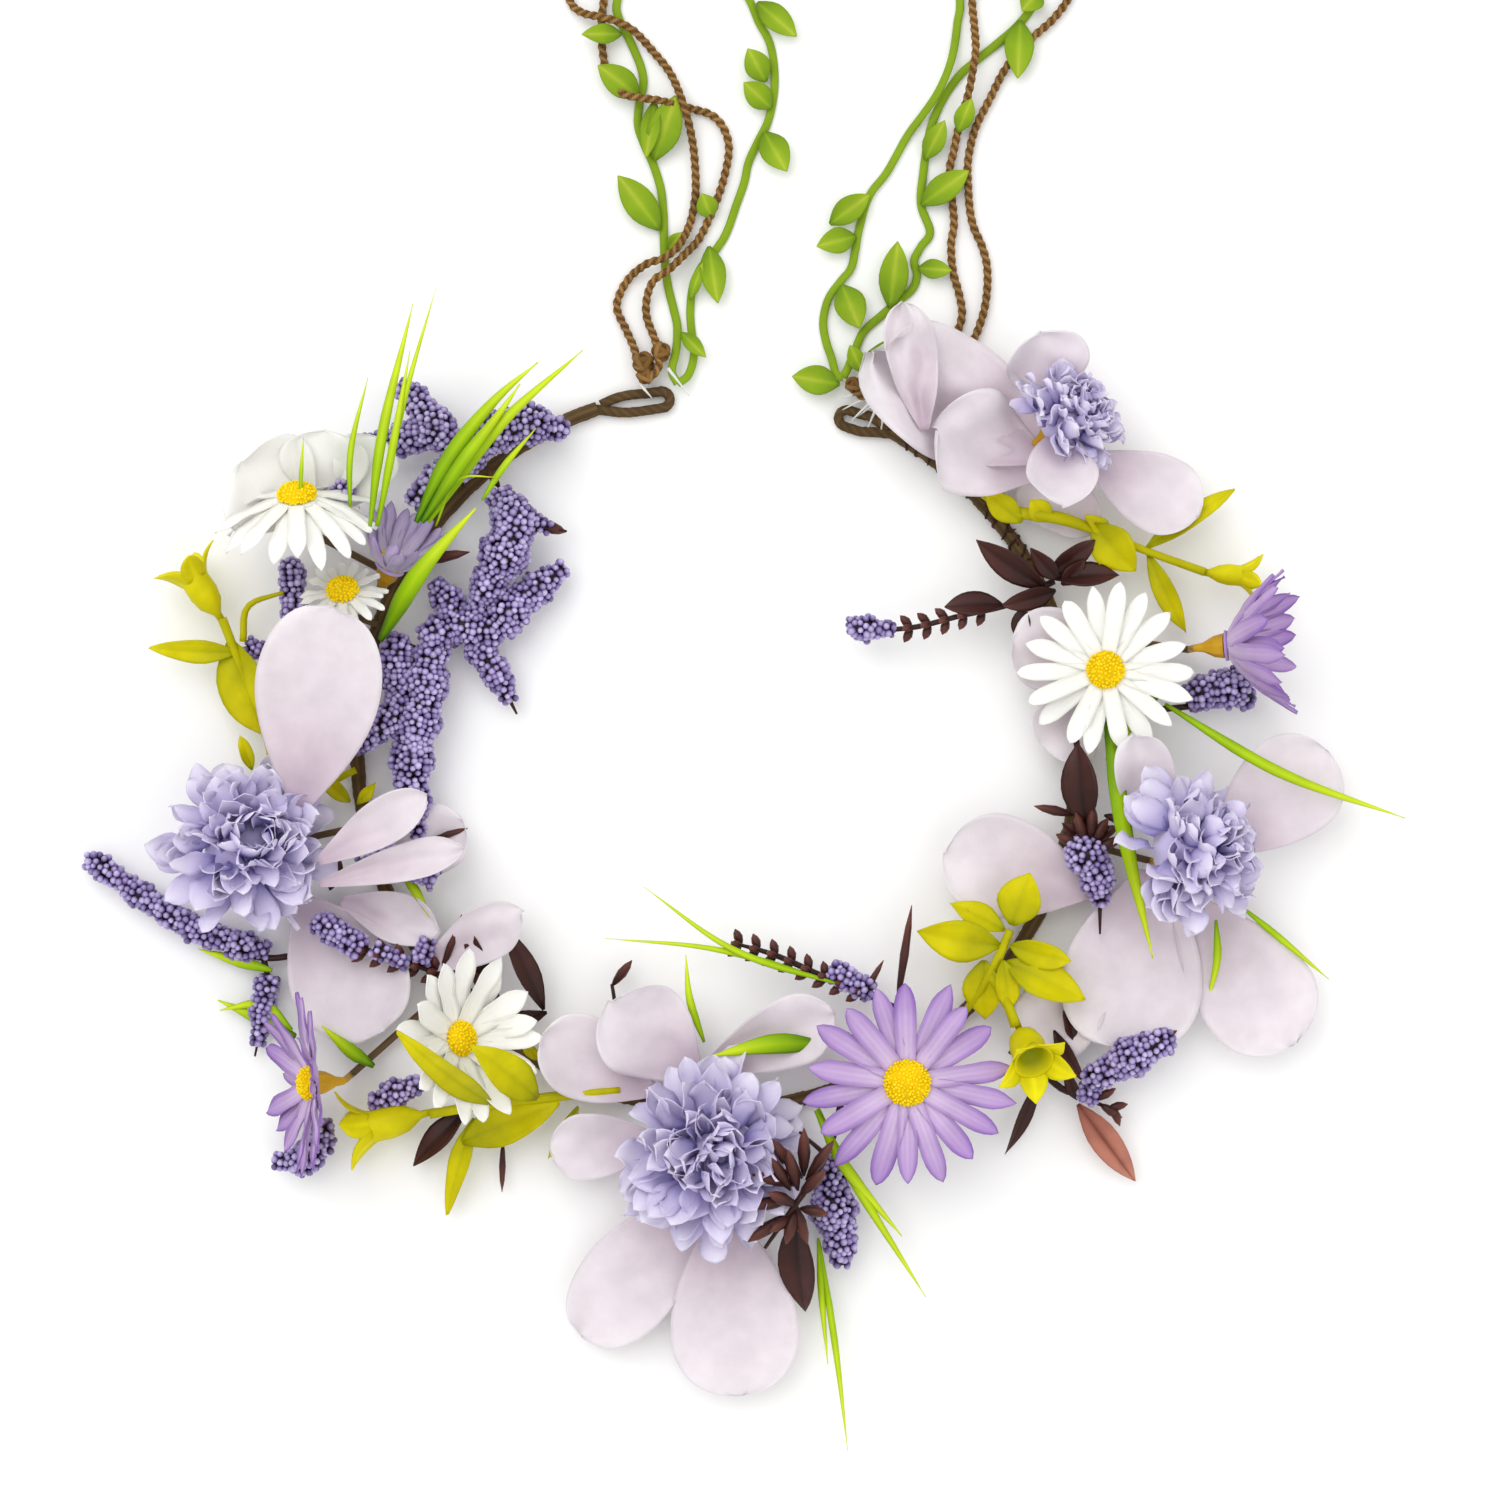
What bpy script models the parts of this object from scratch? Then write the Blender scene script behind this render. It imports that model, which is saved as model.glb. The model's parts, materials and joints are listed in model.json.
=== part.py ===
"""Flower crown: a taped wire ring that lies flat, with artificial flowers, bead sprays, lime bell
picks and grass tufts wired to it, and tie cords of jute and leaf ribbon at its open end.

Units are metres. Lists of places are written in millimetres and turned to metres by MM.
+Z is up, +Y runs from the middle of the crown to the open end, and z = 0 is the table.
"""

import math

import bmesh
import bpy
from mathutils import Matrix, Vector

MM = 0.001

# Ring
RING_CENTRE = (-7.4, 33.0)
RING_RADIUS = 99.0
RING_START_DEG = 109.5
RING_END_DEG = 421.3
RING_STEP_DEG = 9.0
WIRE_RADIUS = 0.9
TAPE_RADIUS = 1.95
TAPE_WALL = 0.65
TAPE_SIDES = 8
RING_HEIGHT = TAPE_RADIUS * math.cos(math.pi / TAPE_SIDES)
EYELET_LENGTHS = (20.0, 15.0)
EYELET_HALF_GAP = 2.3
EYELET_SPLAY_DEG = 12.0

# Stems and calyxes
STEM_RADIUS = 1.0
STEM_HEIGHT = 5.2
PEG_RADIUS = 1.2
PEG_CLEARANCE = 0.35
GAP = 0.3
CALYX_RADIUS = 3.4
CALYX_DROP = 8.0
CALYX_SHOULDER = 0.05
CALYX_WAIST_DEPTH = 3.0
CALYX_WAIST_SHARE = 0.85
CALYX_FOOT_DEPTH = 6.0
CALYX_FOOT_SHARE = 1.3

# Daisies
WHORL_THICKNESS = 1.0
WHORL_HOLE = PEG_RADIUS + PEG_CLEARANCE
BUTTON_HEIGHT = 3.2
BUTTON_SOCKET = 1.2
BUTTON_STEPS = 10
PETALS = 13
PETAL_VALLEY = 0.84

# Pompons
HEAD_STEPS = 14
HEAD_SOCKET = 3.0

# Silk blossoms
BLOSSOM_HEIGHT = 7.3
BLOSSOM_THICKNESS = 1.2
BLOSSOM_HOLE = 3.4
BLOSSOM_HEART = 11.0
BLOSSOM_POINTS = 36

# Tie cords
JUTE_RADIUS = 1.375
RIBBON_RADIUS = 1.5
ROUTE_SPACING = 8.2
COIL_RADII = (12.6, 19.4)
COIL_HEIGHT = 11.8
COIL_EDGE = 1.5
COIL_STEPS = 20
COIL_CENTRES = {"left": (-22.0, 275.0), "right": (73.0, 275.0)}

# Name: place of the hub, tilt from upright and heading of the face, petal length, cup angle, button radius
DAISIES = {
    "white_daisy_upper_left": ((-119.0, 99.0, 32.5), 60.0, 92.0, 25.0, -28.0, 5.2),
    "white_daisy_left": ((-108.0, 74.5, 21.5), 40.0, 95.0, 12.5, -10.0, 4.2),
    "white_daisy_low_left": ((-77.0, -45.0, 25.5), 46.0, 15.0, 25.0, 26.0, 4.6),
    "white_daisy_upper_right": ((97.0, 54.0, 23.5), 10.0, 180.0, 24.5, -8.0, 5.0),
    "lilac_daisy_upper_left": ((-96.5, 82.0, 12.0), 62.0, 62.0, 20.0, 52.0, 3.8),
    "lilac_daisy_low_left": ((-115.0, -56.5, 28.0), 68.0, 182.0, 26.0, 14.0, 4.4),
    "lilac_daisy_bottom": ((43.5, -56.5, 24.5), 6.0, 270.0, 29.5, 4.0, 6.2),
    "lilac_daisy_right": ((129.0, 60.5, 24.0), 76.0, 4.0, 27.0, 42.0, 3.8),
}

# How far round the ring a stem's foot is moved to pass its neighbour's
STEM_SWINGS_DEG = {"lilac_daisy_right_calyx": 7.0}

# Name: place of the base, tilt from upright and heading of the face, radius
POMPONS = {
    "pompon_left": ((-136.0, 6.0, 15.5), 20.0, 37.0, 26.0),
    "pompon_bottom": ((-10.0, -77.0, 15.0), 12.0, 30.0, 28.0),
    "pompon_right": ((116.0, 4.0, 24.5), 42.0, 20.0, 24.0),
    "pompon_top_right": ((84.0, 119.5, 19.5), 52.0, 35.0, 18.5),
}

# Name: flower whose stem it is threaded on, and its petals as heading, length and width
BLOSSOMS = {
    "silk_blossom_left": (
        "pompon_left",
        ((70.0, 68.0, 28.0), (20.0, 40.0, 16.0), (350.0, 50.0, 22.0), (292.0, 52.0, 36.0), (325.0, 58.0, 16.0)),
    ),
    "silk_blossom_bottom": (
        "pompon_bottom",
        (
            (237.0, 58.0, 26.0),
            (279.0, 66.0, 34.0),
            (178.0, 44.0, 20.0),
            (150.0, 53.0, 24.0),
            (114.0, 46.0, 30.0),
            (49.0, 51.0, 22.0),
        ),
    ),
    "silk_blossom_right": (
        "pompon_right",
        ((118.0, 33.0, 16.0), (38.0, 48.0, 30.0), (300.0, 58.0, 34.0), (245.0, 56.0, 36.0), (180.0, 56.0, 28.0)),
    ),
    "silk_blossom_top_right": (
        "pompon_top_right",
        ((150.0, 44.0, 34.0), (92.0, 28.0, 22.0), (282.0, 24.0, 24.0), (332.0, 48.0, 26.0)),
    ),
    "silk_blossom_upper_left": (
        "white_daisy_upper_left",
        ((160.0, 22.0, 30.0), (100.0, 28.0, 26.0), (45.0, 20.0, 20.0)),
    ),
}

# Each spray is a list of runs of (x, y, z, radius); a run starts on a point of an earlier one.
BEAD_SPRAYS = {
    "bead_spray_upper_left": (
        ((-77, 105, 9, 1.2), (-76, 111, 12, 5), (-67, 119, 12, 6), (-58, 121, 11, 6), (-50, 120, 9, 4)),
        ((-76, 111, 12, 5), (-83, 119, 12, 6), (-93, 130, 10, 4)),
        ((-83, 119, 12, 6), (-92, 117, 11, 5), (-104, 116, 9, 3.5)),
        ((-76, 111, 12, 5), (-67, 99, 12, 6.5), (-63, 89, 12, 6.5), (-66, 81, 11, 4)),
    ),
    "bead_spray_inner_left": (
        ((-96, 62, 12, 1.2), (-87, 59, 13, 6), (-77, 62, 9, 5.5), (-65, 67, 8, 5), (-51, 79, 7, 4)),
        ((-77, 62, 9, 5.5), (-80, 75, 8, 4.5)),
        ((-77, 62, 9, 5.5), (-71, 55, 8, 4.5), (-65, 46, 6, 3)),
        ((-87, 59, 13, 6), (-87, 46, 12, 6.5), (-90, 34, 12, 6.5), (-90, 22, 10, 5.5), (-89, 9, 7, 3)),
        ((-90, 34, 12, 6.5), (-106, 34, 16, 4.5)),
    ),
    "bead_spray_far_left": (
        (
            (-102, -10, 5.2, 1),
            (-116, -21, 5.2, 1.5),
            (-131, -24, 3.3, 2.6),
            (-143, -19, 3.6, 2.8),
            (-157, -12, 5, 4.5),
            (-168, -5, 5.5, 4.5),
            (-181, 2, 6, 3),
        ),
        ((-131, -24, 3.3, 2.6), (-133, -36, 3.3, 2.6), (-137, -48, 3.3, 2)),
    ),
    "bead_spray_low_left": (
        (
            (-66, -47, 7, 1.2),
            (-72, -33, 10, 1.5),
            (-83, -28, 11, 1.5),
            (-94, -25, 12.5, 3.5),
            (-109, -19, 13.6, 4.5),
            (-116, -15, 13.6, 3),
        ),
        ((-72, -33, 10, 1.5), (-72, -22, 13, 3), (-77, -12, 15, 1)),
        ((-66, -47, 7, 1.2), (-59, -32, 10, 3.5), (-66, -15, 13, 1)),
        ((-66, -47, 7, 1.2), (-53, -40, 8, 3), (-46, -36, 8, 1)),
    ),
    "bead_spray_bottom": (
        (
            (26, -58, 7, 1.2),
            (34, -41, 9, 1.2),
            (32, -31, 11, 3),
            (26, -29, 12, 3.5),
            (15, -26, 12, 2.2),
            (-3, -20, 12, 1),
        ),
        ((34, -41, 9, 1.2), (41, -25, 12, 2), (44, -10, 15, 0.8)),
        ((26, -58, 7, 1.2), (23, -74, 7, 1.5), (23, -85, 7, 4.5), (26, -95, 7, 5), (25, -106, 7, 3)),
        ((23, -74, 7, 1.5), (12, -86, 6, 4), (12, -104, 5, 3), (17, -121, 5, 1)),
    ),
    "bead_spray_right": (
        ((89, 37, 9, 1.2), (90, 25, 12, 3.5), (91, 13, 14, 4), (91, 3, 14, 5), (92, -8, 13, 3.5), (94, -17, 12, 1)),
        ((90, 25, 12, 3.5), (79, 17, 12, 1)),
        ((89, 37, 9, 1.2), (105, 43, 9, 1.2), (119, 44, 8, 5), (124, 47, 8, 5)),
    ),
    "bead_spray_low_right": (
        (
            (63, -36, 5.2, 1),
            (78, -52, 5.2, 1),
            (89, -62, 6, 2),
            (98, -60, 8, 2.5),
            (104, -53, 12, 4.5),
            (114, -47, 13.5, 3.5),
        ),
        ((89, -62, 6, 2), (97, -71, 8, 4), (107, -86, 6, 1)),
        ((89, -62, 6, 2), (75, -68, 8, 3), (71, -79, 6, 1)),
    ),
    "bead_spray_upper_right": (
        ((81, 70, 7, 1.2), (72, 72, 10, 3), (58, 69, 11, 2.2), (42, 66, 11, 2.5), (29, 66, 11, 3)),
        ((72, 72, 10, 3), (73, 81, 12, 3.5), (63, 89, 13, 1)),
        ((81, 70, 7, 1.2), (88, 82, 11, 4.5), (105, 85, 12, 1)),
    ),
}

BELL_PICKS = {
    "bell_pick_left": (
        (
            (-109, 27, 5.2, 1),
            (-126, 19, 5.2, 1),
            (-138, 28, 5.2, 1),
            (-143, 38, 8, 2),
            (-142, 49, 10, 5.5),
            (-139, 61, 11, 2),
            (-142, 68, 12, 2),
            (-146, 73, 13, 5),
            (-152, 81, 14, 6),
            (-158, 87, 15, 5),
        ),
        ((-139, 61, 11, 2), (-150, 61, 11, 2.6), (-163, 60, 11, 1)),
        ((-139, 61, 11, 2), (-134, 71, 11, 1.2), (-127, 76, 12, 0.8)),
    ),
    "bell_pick_low_left": (
        (
            (-38, -62, 9.5, 1.2),
            (-54, -61, 11.4, 1.5),
            (-70, -65, 9, 1.5),
            (-84, -69, 9, 2.5),
            (-95, -73, 9, 5),
            (-104, -76, 9, 5.5),
            (-113, -79, 9, 5),
        ),
        ((-54, -61, 11.4, 1.5), (-58, -50, 12, 2.5)),
        ((-54, -61, 11.4, 1.5), (-65, -74, 7, 5), (-76, -76, 6, 2)),
        ((-70, -65, 9, 1.5), (-78, -81, 7, 3), (-82, -95, 5, 1)),
    ),
    "bell_pick_low_right": (
        ((60, -35, 13, 1.2), (66, -24, 15, 3), (72, -15, 16, 4.5), (77, -2, 17, 3)),
        ((66, -24, 15, 3), (57, -18, 17, 5), (48, -17, 18, 2)),
        ((72, -15, 16, 4.5), (65, -8, 18, 3), (57, -6, 19, 1)),
        ((66, -24, 15, 3), (73, -41, 15, 2), (76, -49, 16, 5.5), (81, -58, 16, 6)),
        ((73, -41, 15, 2), (81, -32, 17, 4.5), (90, -34, 18, 3)),
    ),
    "bell_pick_upper_right": (
        (
            (71, 90, 6, 1),
            (76, 96, 11.5, 2.2),
            (86, 94, 12, 1.2),
            (99, 92, 12, 4.5),
            (109, 88, 12, 1.4),
            (118, 86, 12, 1.4),
            (125, 87, 13, 4),
            (136, 87, 14, 5),
            (147, 89, 15, 4.5),
        ),
        ((109, 88, 12, 1.4), (121, 95, 12, 3), (133, 105, 12, 1)),
        ((109, 88, 12, 1.4), (118, 77, 11, 3), (121, 66, 9, 1)),
    ),
}

GRASS_TUFTS = {
    "grass_tuft_left": (
        ((-91, 67, 32, 1.6), (-91, 91, 33, 1.6), (-94, 121, 30, 1.1), (-89, 152, 26, 0.7)),
        ((-91, 91, 33, 1.6), (-88, 126, 29, 1.1), (-83, 160, 26, 0.7)),
        ((-91, 67, 32, 1.6), (-83, 94, 33, 2), (-77, 111, 30, 1.8), (-68, 125, 27, 1.2), (-56, 137, 24, 0.7)),
        ((-77, 111, 30, 1.8), (-60, 128, 26, 1), (-44, 140, 22, 0.7)),
        ((-83, 94, 33, 2), (-70, 100, 29, 1.2), (-56, 119, 24, 0.7)),
    ),
    "grass_tuft_bottom": (
        ((19, -56, 16.5, 1.4), (16, -41, 17, 1.1), (-3, -22, 17, 1), (-27, -5, 16, 0.7)),
        ((16, -41, 17, 1.1), (-12, -27, 16, 0.9), (-38, -18, 15, 0.7)),
        ((19, -56, 16.5, 1.4), (24, -73, 16, 1.4), (34, -92, 14, 1.2), (49, -116, 10, 0.7)),
        ((24, -73, 16, 1.4), (22, -89, 15, 1.2), (21, -117, 11, 1), (28, -160, 4, 0.7)),
    ),
    "grass_tuft_right": (
        ((100, 46, 14.5, 1.4), (101, 30, 14.5, 1.4), (101, 3, 16.5, 1.2), (111, -24, 13, 0.7)),
        ((101, 30, 14.5, 1.4), (115, 44, 14, 1.4), (137, 34, 13, 1.2), (159, 22, 12, 1), (181, 14, 11, 0.7)),
    ),
}

# Each tie is one length folded at the eyelet: from the coil, down to the fold, and back to the coil.
TIES = {
    "jute_tie_left": (
        "left",
        JUTE_RADIUS,
        (200.0, 226.0),
        (
            (-44.6, 252.0, 1.5), (-43.4, 238.4, 1.5), (-46.1, 234.8, 1.5), (-39.4, 233.1, 5.0), (-34.8, 231.7, 5.2),
            (-30.2, 229.2, 4.4), (-25.3, 224.4, 1.5), (-20.3, 217.8, 2.6), (-16.6, 208.4, 4.9), (-14.3, 198.9, 2.6),
            (-13.5, 188.4, 1.5), (-14, 181.8, 1.5), (-15.4, 176.3, 1.6), (-18.1, 170.6, 4.8), (-22.2, 167.1, 5.2),
            (-26.6, 165.7, 4.6), (-31.3, 162.6, 1.5), (-34.3, 157.9, 1.5), (-35.1, 153.5, 1.5), (-32.7, 148, 1.6),
            (-30.3, 142.4, 3), (-29.3, 137.5, 4.8), (-26.6, 134, 5), (-23.7, 137.1, 4.8), (-24.3, 143.8, 3),
            (-26.9, 151.1, 1.6), (-26.9, 156.4, 2.2), (-25, 160.9, 4.8), (-21.2, 163.6, 5.2), (-17.3, 167.4, 4.4),
            (-12.8, 172.6, 1.5), (-9.8, 178.5, 1.5), (-8.3, 182, 1.5), (-6.2, 188, 1.5), (-4.6, 195, 1.5),
            (-4.6, 199.7, 1.5), (-6.3, 204, 1.5), (-9.3, 206.9, 1.5), (-14.3, 208.5, 1.5), (-23.6, 210.3, 4.8),
            (-29, 210.9, 5.2), (-33.7, 212.2, 4.6), (-36.6, 215.2, 1.6), (-38.4, 220.3, 1.5), (-39.3, 226.8, 1.5),
            (-39.3, 233.7, 1.5), (-38.6, 240, 1.5), (-38.4, 250.5, 1.5),
        ),
    ),
    "jute_tie_right": (
        "right",
        JUTE_RADIUS,
        (238.0, 326.0),
        (
            (63.2, 250, 1.5), (62.4, 238.6, 1.5), (62.9, 231.7, 2.2), (63.2, 224.3, 4.4), (62.4, 218.8, 4.9),
            (61.3, 212.6, 3.6), (58.9, 204.3, 1.6), (57.3, 196.7, 1.5), (56.2, 190.9, 1.5), (57.4, 177.7, 1.5),
            (56.6, 171.5, 1.5), (57.1, 164.1, 1.5), (58.8, 157.7, 1.5), (59.6, 151.9, 1.5), (57.7, 146.4, 1.5),
            (53, 141.7, 1.5), (45, 138.3, 1.5), (36.8, 136.5, 3), (31.4, 133.8, 4.6), (29.9, 130.6, 4.9),
            (33.1, 129.2, 4.6), (38.1, 131.4, 3), (45.9, 134.2, 1.5), (54.9, 138, 1.5), (61.7, 143.5, 1.5),
            (65, 150.8, 1.5), (66.4, 157.7, 1.5), (66.5, 165.1, 1.5), (65.1, 170.8, 1.5), (62.9, 175.8, 1.5),
            (61.8, 180.7, 1.5), (61.3, 187.6, 1.5), (61.3, 194.5, 1.5), (63.2, 203, 1.5), (67.2, 211.2, 1.5),
            (71.7, 219.8, 1.5), (78, 227.2, 1.5), (85, 233.6, 1.5), (89.6, 240.6, 1.5), (92.5, 251, 1.5),
        ),
    ),
    "leaf_tie_left": (
        "left",
        RIBBON_RADIUS,
        (250.0, 300.0),
        (
            (-33, 246.5, 1.6), (-35.1, 238.4, 1.6), (-34.9, 234.3, 1.6), (-31.6, 227.4, 1.6), (-28.6, 220.2, 1.6),
            (-27.9, 215.4, 1.6), (-28.9, 210.9, 1.6), (-29.4, 204.3, 1.6), (-27.5, 198.5, 1.6), (-25.3, 193.7, 1.6),
            (-23.1, 186.6, 1.6), (-22.4, 179.3, 1.6), (-22.3, 173.8, 1.6), (-22, 166.2, 1.6), (-21.1, 159.8, 1.6),
            (-19.8, 154.4, 1.6), (-18.6, 148.8, 1.8), (-18.9, 142.1, 3.4), (-20, 136.4, 4.9), (-18.4, 132.8, 5),
            (-15.4, 135.5, 3.8), (-13.9, 141.7, 1.8), (-14.7, 147.8, 1.6), (-15, 153.5, 1.6), (-14.3, 159.8, 1.6),
            (-12.2, 164.8, 1.6), (-8.8, 168.9, 1.6), (-5.9, 173, 1.6), (-4.2, 176.8, 1.6), (-2.4, 182.1, 1.6),
            (-0.2, 188.4, 1.6), (1, 193.9, 1.6), (3.6, 199.7, 1.6), (6.4, 205.4, 1.6), (8, 213.1, 1.6),
            (8, 220.6, 1.6), (6.7, 227.1, 1.6), (3.8, 232.5, 1.6), (0.8, 239.4, 1.6), (-5.6, 249, 1.6),
        ),
    ),
    "leaf_tie_right": (
        "right",
        RIBBON_RADIUS,
        (214.0, 298.0),
        (
            (57.6, 252, 1.6), (59.1, 238.4, 1.6), (58.4, 232.3, 1.6), (57.4, 225.2, 2.8), (55.6, 218.6, 4.9),
            (52.6, 212.2, 4.9), (48.8, 206.8, 2.8), (44.6, 201.2, 1.6), (39.1, 191.4, 1.6), (34.2, 184.8, 1.6),
            (31.4, 175.8, 1.6), (30.3, 169.8, 1.6), (29.1, 164.8, 1.6), (26.2, 161.2, 1.6), (22.9, 156.4, 1.6),
            (21.5, 150.3, 1.6), (22.2, 145, 1.7), (23.9, 139.6, 3.2), (25, 135.4, 4.9), (26.9, 134.6, 5),
            (28.4, 137.6, 4.4), (30.2, 142.2, 2.2), (32.6, 147.4, 1.6), (37.4, 151.8, 1.6), (42, 155.8, 1.6),
            (46, 159.2, 1.6), (47.3, 163.2, 1.6), (46.5, 167, 1.6), (48.4, 170.8, 1.6), (50.9, 174.9, 1.6),
            (48.4, 182.4, 1.6), (49, 190.9, 1.6), (50.9, 202.8, 1.6), (54.5, 211.5, 1.6), (59.2, 218.1, 1.6),
            (63.2, 221.6, 1.6), (69.3, 226.6, 1.6), (75.1, 231.8, 1.6), (79.8, 238.4, 1.6), (82.6, 249.6, 1.6),
        ),
    ),
}

COLOURS = {
    "steel": ("8C8A86", 0.4, 1.0),
    "tape": ("5A4326", 0.9, 0.0),
    "jute": ("7A5230", 0.95, 0.0),
    "ribbon": ("86A800", 0.7, 0.0),
    "coil": ("7E7A28", 0.9, 0.0),
    "pompon": ("C9C4EA", 0.8, 0.0),
    "white_petal": ("F7F7F2", 0.7, 0.0),
    "lilac_petal": ("B9A3D3", 0.7, 0.0),
    "button": ("F7C810", 0.8, 0.0),
    "calyx": ("9A8A28", 0.5, 0.0),
    "silk": ("DCD2E6", 0.6, 0.0),
    "beads": ("6E62A8", 0.5, 0.0),
    "lime": ("B4BC10", 0.45, 0.0),
    "grass": ("7FBF10", 0.4, 0.0),
}


def clear_scene():
    """Removes what the scene starts with."""
    for item in list(bpy.data.objects):
        bpy.data.objects.remove(item, do_unlink=True)


def linear(value):
    """One sRGB channel, 0 to 1, as a linear value."""
    if value <= 0.04045:
        return value / 12.92
    return ((value + 0.055) / 1.055) ** 2.4


def new_material(name, hex_colour, roughness, metallic):
    """A Principled material of one colour."""
    material = bpy.data.materials.new(name)
    material.use_nodes = True
    shader = material.node_tree.nodes["Principled BSDF"]
    channels = [linear(int(hex_colour[i : i + 2], 16) / 255) for i in (0, 2, 4)]
    shader.inputs["Base Color"].default_value = (*channels, 1.0)
    shader.inputs["Roughness"].default_value = roughness
    shader.inputs["Metallic"].default_value = metallic
    return material


def add_object(name, data, collection, finish):
    """An object made from a mesh or a curve, with its own material."""
    item = bpy.data.objects.new(name, data)
    collection.objects.link(item)
    data.materials.append(new_material(f"{name}_{finish}", *COLOURS[finish]))
    return item


def metres(points):
    """Points in millimetres as vectors in metres."""
    return [Vector(p[:3]) * MM for p in points]


def smooth_route(points, spacing):
    """Points every spacing along a smooth curve through the given ones."""
    padded = [points[0] * 2 - points[1], *points, points[-1] * 2 - points[-2]]
    fine = []
    for a, b, c, d in zip(padded, padded[1:], padded[2:], padded[3:]):
        for step in range(8):
            t = step / 8
            fine.append(
                0.5 * (2 * b + (c - a) * t + (2 * a - 5 * b + 4 * c - d) * t**2 + (3 * b - a - 3 * c + d) * t**3)
            )
    fine.append(points[-1])
    length = sum((q - p).length for p, q in zip(fine, fine[1:]))
    count = max(2, round(length / spacing))
    stops = [length * i / count for i in range(count + 1)]
    route = [fine[0]]
    run = 0.0
    for p, q in zip(fine, fine[1:]):
        step = (q - p).length
        while len(route) < count and run + step >= stops[len(route)]:
            route.append(p.lerp(q, (stops[len(route)] - run) / step))
        run += step
    route.append(fine[-1])
    return route


def tube_curve(name, points, radius, sides, widths=None, tilt=0.0, caps=True):
    """A curve through the points with a round bevel; widths scale the radius point by point."""
    curve = bpy.data.curves.new(name, "CURVE")
    curve.dimensions = "3D"
    curve.bevel_depth = radius
    curve.bevel_resolution = sides // 2 - 2
    curve.use_fill_caps = caps
    spline = curve.splines.new("POLY")
    spline.points.add(len(points) - 1)
    for i, (place, point) in enumerate(zip(points, spline.points)):
        point.co = (*place, 1.0)
        point.radius = widths[i] if widths else 1.0
        point.tilt = tilt
    return curve


def ring_point(angle_deg):
    """The ring's centreline at an angle from +X, in metres."""
    angle = math.radians(angle_deg)
    return Vector(
        (
            RING_CENTRE[0] + RING_RADIUS * math.cos(angle),
            RING_CENTRE[1] + RING_RADIUS * math.sin(angle),
            RING_HEIGHT,
        )
    ) * MM


def ring_route():
    """The ring's centreline, from the left eyelet round the front to the right one."""
    count = round((RING_END_DEG - RING_START_DEG) / RING_STEP_DEG)
    span = RING_END_DEG - RING_START_DEG
    return [ring_point(RING_START_DEG + span * i / count) for i in range(count + 1)]


def eyelet_route(angle_deg, turn, length):
    """The wire's loop beyond one end of the ring, from the ring out and back."""
    angle = math.radians(angle_deg)
    outward = Vector((math.cos(angle), math.sin(angle), 0.0))
    along = Vector((-turn * math.sin(angle), turn * math.cos(angle), 0.0))
    splay = Matrix.Rotation(math.radians(EYELET_SPLAY_DEG) * turn, 3, "Z")
    along = splay @ along
    outward = splay @ outward
    foot = ring_point(angle_deg)
    tip = length - EYELET_HALF_GAP
    steps = [(4.0, -EYELET_HALF_GAP * 0.6), (8.0, -EYELET_HALF_GAP), (tip * 0.75, -EYELET_HALF_GAP)]
    for i in range(7):
        bend = math.pi * i / 6 - math.pi / 2
        steps.append((tip + EYELET_HALF_GAP * math.cos(bend), EYELET_HALF_GAP * math.sin(bend)))
    steps += [(tip * 0.75, EYELET_HALF_GAP), (6.0, EYELET_HALF_GAP)]
    return [foot + (along * a + outward * b) * MM for a, b in steps]


def build_ring(collection):
    """The wire core with its eyelets, and the hollow wrap of florist's tape round it."""
    route = ring_route()
    left = eyelet_route(RING_START_DEG, -1.0, EYELET_LENGTHS[0])
    right = eyelet_route(RING_END_DEG, 1.0, EYELET_LENGTHS[1])
    wire = tube_curve("ring_wire", left[::-1] + route + right, WIRE_RADIUS * MM, 6)
    add_object("ring_wire", wire, collection, "steel")
    facet_turn = math.pi / TAPE_SIDES
    tape = tube_curve("ring_tape", route, TAPE_RADIUS * MM, TAPE_SIDES, tilt=facet_turn, caps=False)
    wrap = add_object("ring_tape", tape, collection, "tape")
    wall = wrap.modifiers.new("wall", "SOLIDIFY")
    wall.thickness = TAPE_WALL * MM
    wall.offset = -1.0


def facing(tilt_deg, heading_deg):
    """The turn that points +Z at a tilt from upright towards a heading."""
    heading = Matrix.Rotation(math.radians(heading_deg), 4, "Z")
    return heading @ Matrix.Rotation(math.radians(tilt_deg), 4, "Y")


def flower_matrix(place, tilt_deg, heading_deg):
    """Where a flower's own frame stands: its foot at the origin and its face along +Z."""
    return Matrix.Translation(Vector(place) * MM) @ facing(tilt_deg, heading_deg)


def turned(name, profile, matrix, steps, collection, finish):
    """A solid of revolution from an outline in millimetres that runs from the top down."""
    mesh = bpy.data.meshes.new(name)
    shape = bmesh.new()
    corners = [shape.verts.new((r * MM, 0.0, z * MM)) for r, z in profile]
    for a, b in zip(corners, corners[1:]):
        shape.edges.new((a, b))
    shape.to_mesh(mesh)
    shape.free()
    item = add_object(name, mesh, collection, finish)
    screw = item.modifiers.new("turn", "SCREW")
    screw.steps = steps
    screw.render_steps = steps
    screw.use_merge_vertices = True
    screw.merge_threshold = 0.00001
    item.matrix_world = matrix
    return item


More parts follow.
